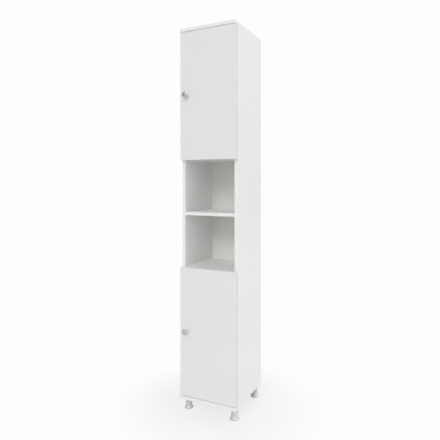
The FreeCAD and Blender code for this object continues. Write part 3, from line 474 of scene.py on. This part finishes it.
@dataclass(frozen=True)
class BeechFinish(SurfaceFinish):
    """Raw beech with its grain along Z."""

    ring_scale: float
    octaves: float = 5.0
    grain_height: float = 0.00005
    relief: float = 0.5

    def build(self, effects: EffectLibrary) -> bpy.types.Material:
        """Make the material.

        Args:
            effects: Shared node groups; not used here.

        Returns:
            The material.
        """
        material, graph, shader, coordinates = start_material(self.name)
        along = graph.stretched(coordinates, GRAIN_STRETCH)
        grain = graph.noise(along, self.ring_scale, self.octaves)
        self.vary(graph, shader, grain, grain)
        raise_relief(graph, grain, self.grain_height, self.relief, shader)
        return material


class Finish(Enum):
    """Finishes of the cabinet's own pieces: light tone, dark tone, least and most roughness."""

    BOARD = LacquerFinish(
        "white_board_coating", (0.888, 0.892, 0.880), (0.874, 0.878, 0.866), 0.34, 0.42,
        peel_scale=1500.0, peel_height=0.00004, coat=0.0)
    DOOR = LacquerFinish(
        "white_door_lacquer", (0.832, 0.834, 0.830), (0.820, 0.822, 0.818), 0.27, 0.34,
        peel_scale=900.0, peel_height=0.00005, coat=0.15)
    BACK = LacquerFinish(
        "white_hardboard", (0.886, 0.892, 0.864), (0.866, 0.872, 0.844), 0.45, 0.60,
        peel_scale=700.0, peel_height=0.00012, coat=0.0)
    CHROME = MetalFinish(
        "polished_chrome", (0.72, 0.73, 0.74), (0.66, 0.67, 0.68), 0.17, 0.24,
        line_scale=900.0, line_height=0.000002)
    SATIN = MetalFinish(
        "satin_aluminium", (0.72, 0.72, 0.72), (0.66, 0.66, 0.66), 0.44, 0.56,
        line_scale=2500.0, line_height=0.00002, metallic=0.45)
    NICKEL = MetalFinish(
        "nickel_plated_steel", (0.70, 0.69, 0.66), (0.60, 0.59, 0.56), 0.18, 0.34,
        line_scale=1800.0, line_height=0.00001)
    ZINC = MetalFinish(
        "bright_zinc", (0.66, 0.67, 0.69), (0.54, 0.55, 0.57), 0.26, 0.44,
        line_scale=1200.0, line_height=0.00002)
    SOLE = SoftFinish(
        "grey_foot_sole", (0.46, 0.46, 0.46), (0.40, 0.40, 0.40), 0.50, 0.62, glow=0.0)
    BUFFER = SoftFinish(
        "clear_soft_buffer", (0.82, 0.82, 0.80), (0.76, 0.76, 0.74), 0.22, 0.34, glow=0.4)
    BEECH = BeechFinish(
        "raw_beech", (0.62, 0.42, 0.24), (0.50, 0.32, 0.17), 0.5, 0.7, ring_scale=420.0)


@dataclass
class Workshop:
    """Builds each finish once and puts it on nodes and pieces."""

    effects: EffectLibrary = field(default_factory=EffectLibrary)
    made: dict[Finish, bpy.types.Material] = field(default_factory=dict)

    def material(self, finish: Finish) -> bpy.types.Material:
        """Give a finish's material, made when it is first asked for.

        Args:
            finish: The finish.

        Returns:
            Its material.
        """
        if finish not in self.made:
            self.made[finish] = finish.value.build(self.effects)
        return self.made[finish]

    def dress(self, thing: bpy.types.Object, finish: Finish) -> None:
        """Put one finish on all of an object.

        Args:
            thing: The object.
            finish: Its finish.
        """
        thing.data.materials.clear()
        thing.data.materials.append(self.material(finish))
        LOG.info("%s: %s", thing.name, self.material(finish).name)


# ---------------------------------------------------------------- shaping


def turned_form(profile: Sequence[Point], segments: int) -> Form:
    """Spin a half section about the Z axis into a closed form.

    Args:
        profile: (radius, height) points from one end of the axis to the other.
        segments: Number of steps round the axis.

    Returns:
        The closed form.
    """
    form = bmesh.new()
    points = [form.verts.new((radius, 0.0, height)) for radius, height in profile]
    lines = [form.edges.new(pair) for pair in zip(points, points[1:])]
    bmesh.ops.spin(form, geom=points + lines, cent=(0.0, 0.0, 0.0), axis=UP,
                   angle=math.tau, steps=segments, use_merge=True)
    bmesh.ops.remove_doubles(form, verts=form.verts, dist=MERGE_DISTANCE)
    bmesh.ops.recalc_face_normals(form, faces=form.faces)
    return form


def arc(centre: Point, radii: Point, start: float, end: float, count: int) -> list[Point]:
    """Points of an elliptical arc.

    Args:
        centre: Centre of the ellipse.
        radii: Its two half widths.
        start: First angle, in degrees.
        end: Last angle, in degrees.
        count: Number of points.

    Returns:
        The points in order.
    """
    angles = [math.radians(start + (end - start) * i / (count - 1)) for i in range(count)]
    return [(centre[0] + radii[0] * math.cos(angle), centre[1] + radii[1] * math.sin(angle))
            for angle in angles]


def sweep(start: Point, end: Point, count: int) -> list[Point]:
    """Points of a hollow arc that leaves its start along the axis and turns outwards to its end.

    Args:
        start: First point, as radius and height.
        end: Last point, further out and above or below.
        count: Number of points.

    Returns:
        The points in order.
    """
    out = end[0] - start[0]
    along = end[1] - start[1]
    radius = (out ** 2 + along ** 2) / (2 * out)
    last = math.degrees(math.atan2(along, out - radius)) % 360.0
    return arc((start[0] + radius, start[1]), (radius, radius), 180.0, last, count)


def seat(form: Form, origin: Vector, axis: Vector) -> Form:
    """Turn a form's +Z to an axis and move it to its place.

    Args:
        form: The form.
        origin: Where its local origin goes.
        axis: Where its local +Z points.

    Returns:
        The same form.
    """
    turn = UP.rotation_difference(axis).to_matrix().to_4x4()
    bmesh.ops.transform(form, matrix=Matrix.Translation(origin) @ turn, verts=form.verts)
    return form


def joined(forms: Iterable[Form]) -> Form:
    """Gather forms in one mesh and free them.

    Args:
        forms: Forms that don't touch.

    Returns:
        One form that holds them all.
    """
    whole = bmesh.new()
    for form in forms:
        part = bpy.data.meshes.new("part")
        form.to_mesh(part)
        form.free()
        whole.from_mesh(part)
        bpy.data.meshes.remove(part)
    return whole


def piece_from(form: Form, name: str) -> bpy.types.Object:
    """Make an object of a form, smooth but for its sharp edges.

    Args:
        form: The form, which is freed.
        name: Name of the piece.

    Returns:
        The new object, at the origin.
    """
    mesh = bpy.data.meshes.new(name)
    form.to_mesh(mesh)
    form.free()
    mesh.shade_smooth()
    mesh.set_sharp_from_angle(angle=CREASE)
    thing = bpy.data.objects.new(name, mesh)
    bpy.context.scene.collection.objects.link(thing)
    return thing


def carved(form: Form, cutter: Form) -> Form:
    """Cut one form out of another.

    Args:
        form: The form that keeps its place; it is freed.
        cutter: The form that is taken away; it is freed.

    Returns:
        What is left.
    """
    base = piece_from(form, "carving_base")
    tool = piece_from(cutter, "carving_tool")
    cut = base.modifiers.new("cut", "BOOLEAN")
    cut.operation = "DIFFERENCE"
    cut.solver = "EXACT"
    cut.object = tool
    graph = bpy.context.evaluated_depsgraph_get()
    result = bmesh.new()
    result.from_mesh(base.evaluated_get(graph).to_mesh())
    for thing in (base, tool):
        bpy.data.objects.remove(thing)
    return result


# ---------------------------------------------------------------- sub-assemblies


@dataclass
class Carcass:
    """Boards of the cabinet and the fittings that join them."""

    nodes: dict[str, bpy.types.Object]
    workshop: Workshop
    boards: tuple[str, ...] = (
        "side_panel_left", "side_panel_right", "top_panel", "bottom_panel", "niche_floor_panel",
        "niche_ceiling_panel", "niche_shelf", "upper_shelf", "lower_shelf",
    )
    zinc_fittings: tuple[str, ...] = (
        "cam_bolts", "cam_housings", "shelf_pins", "foot_hanger_bolts",
    )

    def dress(self) -> None:
        """Put the finishes on the boards and fittings."""
        for name in self.boards:
            self.workshop.dress(self.nodes[name], Finish.BOARD)
        self.workshop.dress(self.nodes["back_panel"], Finish.BACK)
        for name in self.zinc_fittings:
            self.workshop.dress(self.nodes[name], Finish.ZINC)
        self.workshop.dress(self.nodes["wood_dowels"], Finish.BEECH)


@dataclass
class PanHeadScrew:
    """Screw with a domed head and a cross recess; its head stands on its local XY plane.

    From tip on, the numbers are shares of the shank's radius or of the head's own size.
    """

    shank_radius: float
    reach: float
    head_radius: float = 0.0036
    head_height: float = 0.0016
    segments: int = 28
    tip: float = 0.6
    skirt: float = 0.3
    recess_arm: float = 0.62
    recess_width: float = 0.26
    recess_depth: float = 0.9
    recess_foot: float = 0.45

    def form(self) -> Form:
        """Build the screw.

        Returns:
            The screw, its head along +Z.
        """
        dome = arc((0.0, self.head_height * self.skirt),
                   (self.head_radius, self.head_height * (1.0 - self.skirt)), 0.0, 90.0, count=7)
        profile = [
            (0.0, -self.reach), (self.shank_radius * self.tip, -self.reach),
            (self.shank_radius, -self.reach + self.shank_radius), (self.shank_radius, 0.0),
            (self.head_radius, 0.0), *dome[:-1], (0.0, self.head_height),
        ]
        form = turned_form(profile, self.segments)
        for turn in (0.0, math.pi / 2):
            form = carved(form, self.recess_bar(turn))
        return form

    def recess_bar(self, turn: float) -> Form:
        """Build one of the two crossed bars of the recess, narrower at its bottom.

        Args:
            turn: Angle of the bar about the screw's axis.

        Returns:
            The bar.
        """
        arm = self.head_radius * self.recess_arm
        width = self.head_radius * self.recess_width
        depth = self.head_height * self.recess_depth
        bar = bmesh.new()
        bmesh.ops.create_cube(bar, size=1.0)
        size = Matrix.Diagonal((2 * arm, width, 2 * depth, 1.0))
        lift = Matrix.Translation((0.0, 0.0, self.head_height))
        place = Matrix.Rotation(turn, 4, "Z") @ lift @ size
        bmesh.ops.transform(bar, matrix=place, verts=bar.verts)
        low = [corner for corner in bar.verts if corner.co.z < self.head_height]
        bmesh.ops.scale(bar, vec=(self.recess_foot, self.recess_foot, 1.0), verts=low)
        return bar


WOOD_SCREW = PanHeadScrew(shank_radius=0.002, reach=0.0128)
SET_SCREW = PanHeadScrew(shank_radius=0.0025, reach=0.0078)


@dataclass
class TurnedKnob:
    """Round knob with a foot, a waisted neck and a domed head; it stands on its local XY plane."""

    foot_radius: float = 0.008
    foot_height: float = 0.002
    foot_bevel: float = 0.0004
    neck_radius: float = 0.0055
    waist_height: float = 0.008
    head_radius: float = 0.014
    head_rear: float = 0.017
    rear_round: float = 0.001
    rear_start: float = -70.0
    rim_round: float = 0.0035
    dome: float = 0.0015
    reach: float = 0.025
    segments: int = 72

    def form(self) -> Form:
        """Build the knob.

        Returns:
            The knob, its face along +Z.
        """
        foot = [(0.0, 0.0), (self.foot_radius, 0.0),
                (self.foot_radius, self.foot_height - self.foot_bevel)]
        waist = (self.neck_radius, self.waist_height)
        lower = sweep(waist, (self.foot_radius - self.foot_bevel, self.foot_height), count=9)
        upper = sweep(waist, (self.head_radius - self.rear_round, self.head_rear), count=13)
        return turned_form(foot + lower[::-1] + upper[1:] + self.head(), self.segments)

    def head(self) -> list[Point]:
        """Half section of the head, from behind its rim to the middle of its face.

        Returns:
            The points.
        """
        rear = (self.head_radius - self.rear_round, self.head_rear + self.rear_round)
        rear_rim = arc(rear, (self.rear_round, self.rear_round), self.rear_start, 0.0, count=5)
        dome_radius = (self.dome ** 2 + self.head_radius ** 2) / (2 * self.dome)
        across = self.head_radius - self.rim_round
        rise = math.sqrt((dome_radius - self.rim_round) ** 2 - across ** 2)
        dome_low = self.reach - dome_radius
        seam = math.degrees(math.atan2(rise, across))
        front_rim = arc((across, dome_low + rise), (self.rim_round, self.rim_round), 0.0, seam,
                        count=11)
        face = arc((0.0, dome_low), (dome_radius, dome_radius), seam, 90.0, count=9)
        return rear_rim + front_rim + face[1:-1] + [(0.0, self.reach)]


def hinge_corners(door: DoorName) -> list[Vector]:
    """Rear right corner of a door at the height of each of its hinges.

    Args:
        door: The door.

    Returns:
        One point for each hinge, the lower one first.
    """
    low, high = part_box(f"{door.value}_door")
    return [Vector((high.x, high.y, z)) for z in (low.z + HINGE_INSET, high.z - HINGE_INSET)]


@dataclass
class Door:
    """One door with its knob, screws, buffers and hinge cups."""

    name: DoorName
    nodes: dict[str, bpy.types.Object]
    workshop: Workshop
    knob: TurnedKnob = field(default_factory=TurnedKnob)
    knob_screw_radius: float = 0.002
    cup_axis_in: float = 0.0215
    ear_offset: float = 0.006
    ear_spacing: float = 0.048
    ear_height: float = 0.0008
    buffer_radius: float = 0.004
    buffer_skirt: float = 0.35
    buffer_segments: int = 32

    @property
    def body(self) -> str:
        """Body that the door's pieces ride on."""
        return f"{self.name.value}_door_assembly"

    def node(self, ending: str) -> bpy.types.Object:
        """Find one of the door's own nodes.

        Args:
            ending: The node's name after the door's name.

        Returns:
            The node's object.
        """
        return self.nodes[f"{self.name.value}_{ending}"]

    def dress(self) -> None:
        """Finish the door and build what replaces its plain solids."""
        self.workshop.dress(self.node("door"), Finish.DOOR)
        self.workshop.dress(self.node("cup_pins"), Finish.ZINC)
        for end in HINGE_ENDS:
            self.workshop.dress(self.node(f"{end}_hinge_cup"), Finish.NICKEL)
        self.add_knob()
        self.add_knob_screw()
        self.add_cup_screws()
        self.add_buffers()

    def finish_piece(self, piece: bpy.types.Object, finish: Finish,
                     replaced: str) -> None:
        """Dress a new piece, let it ride on the door and hide the node that it stands for.

        Args:
            piece: The new piece.
            finish: Its finish.
            replaced: The node's name after the door's name.
        """
        self.workshop.dress(piece, finish)
        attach(piece, self.body)
        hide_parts(f"{self.name.value}_{replaced}")

    def add_knob(self) -> None:
        """Build the turned knob on the door's front."""
        low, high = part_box(f"{self.name.value}_knob")
        middle = (low + high) / 2
        form = seat(self.knob.form(), Vector((middle.x, high.y, middle.z)), FORWARD)
        knob = piece_from(form, f"{self.name.value}_turned_knob")
        self.finish_piece(knob, Finish.CHROME, "knob")

    def add_knob_screw(self) -> None:
        """Build the machine screw that comes through the door from behind."""
        low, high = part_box(f"{self.name.value}_knob_screw")
        door_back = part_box(f"{self.name.value}_door")[1].y
        middle = (low + high) / 2
        screw = PanHeadScrew(self.knob_screw_radius, door_back - low.y,
                             (high.x - low.x) / 2, high.y - door_back)
        form = seat(screw.form(), Vector((middle.x, door_back, middle.z)), REARWARD)
        piece = piece_from(form, f"{self.name.value}_knob_machine_screw")
        self.finish_piece(piece, Finish.ZINC, "knob_screw")

    def add_cup_screws(self) -> None:
        """Build the two wood screws of each hinge cup."""
        screws = []
        for corner in hinge_corners(self.name):
            for side in BOTH_SIDES:
                place = Vector((corner.x - self.cup_axis_in - self.ear_offset,
                                corner.y + self.ear_height, corner.z + side * self.ear_spacing))
                screws.append(seat(WOOD_SCREW.form(), place, REARWARD))
        piece = piece_from(joined(screws), f"{self.name.value}_cup_wood_screws")
        self.finish_piece(piece, Finish.ZINC, "cup_screws")

    def add_buffers(self) -> None:
        """Build the soft domed buffers behind the door's free edge."""
        low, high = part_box(f"{self.name.value}_door_buffers")
        middle_x = (low.x + high.x) / 2
        rise = high.y - low.y
        skirt = rise * self.buffer_skirt
        dome = arc((0.0, skirt), (self.buffer_radius, rise - skirt), 0.0, 90.0, count=9)
        profile = [(0.0, 0.0), (self.buffer_radius, 0.0), *dome[:-1], (0.0, rise)]
        buffers = [
            seat(turned_form(profile, self.buffer_segments), Vector((middle_x, low.y, z)), REARWARD)
            for z in (low.z + self.buffer_radius, high.z - self.buffer_radius)
        ]
        piece = piece_from(joined(buffers), f"{self.name.value}_soft_buffers")
        self.finish_piece(piece, Finish.BUFFER, "door_buffers")


@dataclass
class HingeSet:
    """Arms, links and plates of all four hinges, with their screws."""

    nodes: dict[str, bpy.types.Object]
    workshop: Workshop
    plate_back: float = 0.040
    plate_screw_pitch: float = 0.032
    plate_board: float = 0.0025
    arm_sheet: float = 0.0012
    set_screw_backs: tuple[float, float] = (0.028, 0.052)
    pressed_parts: tuple[str, ...] = ("outer_link", "inner_link", "hinge_arm", "mounting_plate")

    def dress(self) -> None:
        """Finish the pressed parts and build the screws."""
        for door in DoorName:
            for end in HINGE_ENDS:
                for part in self.pressed_parts:
                    self.workshop.dress(self.nodes[f"{door.value}_{end}_{part}"], Finish.NICKEL)
        self.workshop.dress(self.nodes["hinge_arm_pins"], Finish.ZINC)
        self.add_screws("hinge_plate_screws", self.plate_screw_places(), WOOD_SCREW)
        self.add_screws("hinge_arm_screws", self.arm_screw_places(), SET_SCREW)

    def plate_screw_places(self) -> list[Vector]:
        """Seats of the mounting plates' wood screws.

        Returns:
            The seats.
        """
        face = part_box("side_panel_right")[0].x - self.plate_board
        pitch = self.plate_screw_pitch
        return [Vector((face, corner.y + self.plate_back, corner.z + side * pitch))
                for door in DoorName for corner in hinge_corners(door) for side in BOTH_SIDES]

    def arm_screw_places(self) -> list[Vector]:
        """Seats of the screws in the arms.

        Returns:
            The seats.
        """
        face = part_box("upper_top_mounting_plate")[0].x - self.arm_sheet
        return [Vector((face, corner.y + back, corner.z))
                for door in DoorName for corner in hinge_corners(door)
                for back in self.set_screw_backs]

    def add_screws(self, node: str, places: Sequence[Vector], screw: PanHeadScrew) -> None:
        """Build the screws that stand for one node.

        Args:
            node: The node.
            places: Seat of each screw's head.
            screw: The screw.
        """
        forms = [seat(screw.form(), place, LEFTWARD) for place in places]
        piece = piece_from(joined(forms), f"{node}_cross_headed")
        self.workshop.dress(piece, Finish.ZINC)
        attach(piece, "carcass")
        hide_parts(node)


@dataclass
class Foot:
    """One foot: a straight shaft under the cabinet and a flared base that screws into it."""

    name: FootName
    workshop: Workshop
    shaft_radius: float = 0.015
    base_radius: float = 0.022
    base_height: float = 0.020
    rim_low: float = 0.0016
    rim_high: float = 0.0040
    sole_radius: float = 0.0206
    stud_radius: float = 0.005
    stud_length: float = 0.022
    stud_bevel: float = 0.001
    bore_play: float = 0.0002
    bore_tip_play: float = 0.001
    bevel: float = 0.0005
    segments: int = 56

    def dress(self) -> None:
        """Build the shaft, base and sole in place of the plain solids."""
        self.add_shaft()
        self.add_base()
        self.add_sole()

    def place(self) -> Vector:
        """Middle of the foot on the floor.

        Returns:
            The point.
        """
        low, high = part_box(f"foot_base_{self.name.value}")
        return Vector(((low.x + high.x) / 2, (low.y + high.y) / 2, low.z))

    def add_shaft(self) -> None:
        """Build the shaft, which hides the hanger bolt and the stud."""
        low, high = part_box(f"foot_shaft_{self.name.value}")
        height = high.z - low.z
        bore = self.stud_radius + self.bore_play
        depth = self.stud_length + self.bore_tip_play
        profile = [
            (bore, 0.0), (self.shaft_radius - self.bevel, 0.0), (self.shaft_radius, self.bevel),
            (self.shaft_radius, height - self.bevel), (self.shaft_radius - self.bevel, height),
            (0.0, height), (0.0, depth), (bore, depth), (bore, 0.0),
        ]
        place = self.place() + Vector((0.0, 0.0, self.base_height))
        form = seat(turned_form(profile, self.segments), place, UP)
        shaft = piece_from(form, f"foot_{self.name.value}_drawn_shaft")
        self.workshop.dress(shaft, Finish.SATIN)
        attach(shaft, "carcass")
        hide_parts(f"foot_shaft_{self.name.value}")

    def add_base(self) -> None:
        """Build the flared base with its stud."""
        body = f"foot_{self.name.value}"
        top = self.base_height
        tip = top + self.stud_length
        edge = self.base_radius - self.bevel
        flare = sweep((self.shaft_radius, top - self.bevel), (edge, self.rim_high), count=17)
        profile = [
            (0.0, self.rim_low), (edge, self.rim_low),
            (self.base_radius, self.rim_low + self.bevel),
            (self.base_radius, self.rim_high - self.bevel), *flare[::-1],
            (self.shaft_radius - self.bevel, top), (self.stud_radius, top),
            (self.stud_radius, tip - self.stud_bevel), (self.stud_radius - self.stud_bevel, tip),
            (0.0, tip),
        ]
        form = seat(turned_form(profile, self.segments), self.place(), UP)
        base = piece_from(form, f"{body}_flared_base")
        self.workshop.dress(base, Finish.SATIN)
        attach(base, body)
        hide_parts(f"foot_base_{self.name.value}")

    def add_sole(self) -> None:
        """Build the grey sole under the base; it stands for no solid of its own."""
        body = f"foot_{self.name.value}"
        profile = [(0.0, 0.0), (self.sole_radius - self.bevel, 0.0), (self.sole_radius, self.bevel),
                   (self.sole_radius, self.rim_low), (0.0, self.rim_low)]
        form = seat(turned_form(profile, self.segments), self.place(), UP)
        sole = piece_from(form, f"{body}_sole")
        self.workshop.dress(sole, Finish.SOLE)
        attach(sole, body)


# ---------------------------------------------------------------- studio


@dataclass(frozen=True)
class SkyPatch:
    """Round patch of light with a soft edge, far from the cabinet; its angles are in degrees."""

    azimuth: float
    elevation: float
    inner: float
    outer: float
    strength: float

    def direction(self) -> Vector:
        """Direction of the patch's middle; azimuth 0 lies in front and 90 to the right.

        Returns:
            The unit vector.
        """
        azimuth, elevation = math.radians(self.azimuth), math.radians(self.elevation)
        flat = math.cos(elevation)
        return Vector((math.sin(azimuth) * flat, -math.cos(azimuth) * flat, math.sin(elevation)))


@dataclass
class Studio:
    """Pale floor, soft light and the camera."""

    camera_place: tuple[float, float, float] = (1.0002, -2.0229, 1.1143)
    camera_azimuth: float = 26.41
    focal_length: float = 36.245
    vertical_shift: float = -0.0808
    floor_size: float = 14.0
    floor_fade_start: float = 0.18
    floor_fade_end: float = 0.60
    floor_tone: float = 0.84
    floor_roughness: float = 0.9
    floor_specular: float = 0.1
    floor_glow: float = 0.70
    backdrop: float = 0.985
    ambient: float = 0.25
    patches: tuple[SkyPatch, ...] = (
        SkyPatch(2.0, 33.0, 7.0, 16.0, 6.4),  # lamp in front, which throws the soft shadow
        SkyPatch(10.0, 10.0, 15.0, 50.0, 0.57),  # fill on the doors
        SkyPatch(100.0, 20.0, 15.0, 60.0, 1.26),  # light on the right side panel
        SkyPatch(-90.0, 20.0, 15.0, 60.0, 0.40),  # weaker light from the left
        SkyPatch(205.0, 25.0, 15.0, 55.0, 0.50),  # light on the back
    )

    def set_up(self) -> None:
        """Build the whole studio."""
        self.add_floor()
        self.add_world()
        self.add_camera()
        bpy.context.scene.view_settings.view_transform = "Standard"

    def add_floor(self) -> None:
        """Build the floor, whose shading fades into the bright backdrop away from the cabinet."""
        form = bmesh.new()
        bmesh.ops.create_grid(form, x_segments=2, y_segments=2, size=self.floor_size / 2)
        floor = piece_from(form, "studio_floor")
        material, graph, shader, coordinates = start_material("pale_floor")
        tone = self.floor_tone
        shader.inputs["Base Color"].default_value = (tone, tone, tone, 1.0)
        shader.inputs["Roughness"].default_value = self.floor_roughness
        shader.inputs["Specular IOR Level"].default_value = self.floor_specular
        distance = graph.add("ShaderNodeVectorMath", operation="LENGTH")
        graph.join(coordinates, distance.inputs[0])
        fade = graph.add("ShaderNodeMapRange", interpolation_type="SMOOTHSTEP")
        fade.inputs["From Min"].default_value = self.floor_fade_start
        fade.inputs["From Max"].default_value = self.floor_fade_end
        fade.inputs["To Min"].default_value = self.floor_glow
        graph.join(distance.outputs["Value"], fade.inputs["Value"])
        share = graph.add("ShaderNodeMath", operation="MULTIPLY")
        graph.join(graph.add("ShaderNodeLightPath").outputs["Is Camera Ray"], share.inputs[0])
        graph.join(fade.outputs["Result"], share.inputs[1])
        glow = graph.add("ShaderNodeEmission")
        glow.inputs["Strength"].default_value = self.backdrop
        lit, bright = shader.outputs["BSDF"], glow.outputs["Emission"]
        surface = graph.blend(share.outputs["Value"], lit, bright)
        graph.join(surface, material.node_tree.nodes["Material Output"].inputs["Surface"])
        floor.data.materials.append(material)

    def add_world(self) -> None:
        """Light the studio from all round, with brighter patches, before an even backdrop."""
        world = bpy.data.worlds.new("bright_studio")
        world.use_nodes = True
        graph = ShaderGraph(world.node_tree)
        direction = graph.add("ShaderNodeTexCoord").outputs["Generated"]
        level = graph.add("ShaderNodeValue")
        level.outputs["Value"].default_value = self.ambient
        for patch in self.patches:
            facing = graph.add("ShaderNodeVectorMath", operation="DOT_PRODUCT")
            facing.inputs[1].default_value = patch.direction()
            graph.join(direction, facing.inputs[0])
            edge = graph.add("ShaderNodeMapRange", interpolation_type="SMOOTHSTEP")
            edge.inputs["From Min"].default_value = math.cos(math.radians(patch.outer))
            edge.inputs["From Max"].default_value = math.cos(math.radians(patch.inner))
            edge.inputs["To Max"].default_value = patch.strength
            graph.join(facing.outputs["Value"], edge.inputs["Value"])
            total = graph.add("ShaderNodeMath", operation="ADD")
            graph.join(level.outputs["Value"], total.inputs[0])
            graph.join(edge.outputs["Result"], total.inputs[1])
            level = total
        light = world.node_tree.nodes["Background"]
        light.inputs["Color"].default_value = WHITE
        graph.join(level.outputs["Value"], light.inputs["Strength"])
        backdrop = graph.add("ShaderNodeBackground")
        backdrop.inputs["Color"].default_value = WHITE
        backdrop.inputs["Strength"].default_value = self.backdrop
        seen = graph.add("ShaderNodeLightPath").outputs["Is Camera Ray"]
        surface = graph.blend(seen, light.outputs["Background"], backdrop.outputs["Background"])
        graph.join(surface, world.node_tree.nodes["World Output"].inputs["Surface"])
        bpy.context.scene.world = world

    def add_camera(self) -> None:
        """Place the camera level, as far away and as high as the photographer's."""
        data = bpy.data.cameras.new("camera")
        data.lens = self.focal_length
        data.shift_y = self.vertical_shift
        camera = bpy.data.objects.new("camera", data)
        camera.location = self.camera_place
        camera.rotation_euler = (math.pi / 2, 0.0, math.radians(self.camera_azimuth))
        bpy.context.scene.collection.objects.link(camera)
        bpy.context.scene.camera = camera


def main() -> None:
    """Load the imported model, dress it and set up the studio."""
    logging.basicConfig(level=logging.INFO, format="%(name)s: %(message)s")
    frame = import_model()
    nodes = frame["nodes"]
    workshop = Workshop()
    Carcass(nodes, workshop).dress()
    for name in DoorName:
        Door(name, nodes, workshop).dress()
    HingeSet(nodes, workshop).dress()
    for name in FootName:
        Foot(name, workshop).dress()
    Studio().set_up()


if __name__ == "__main__":
    main()
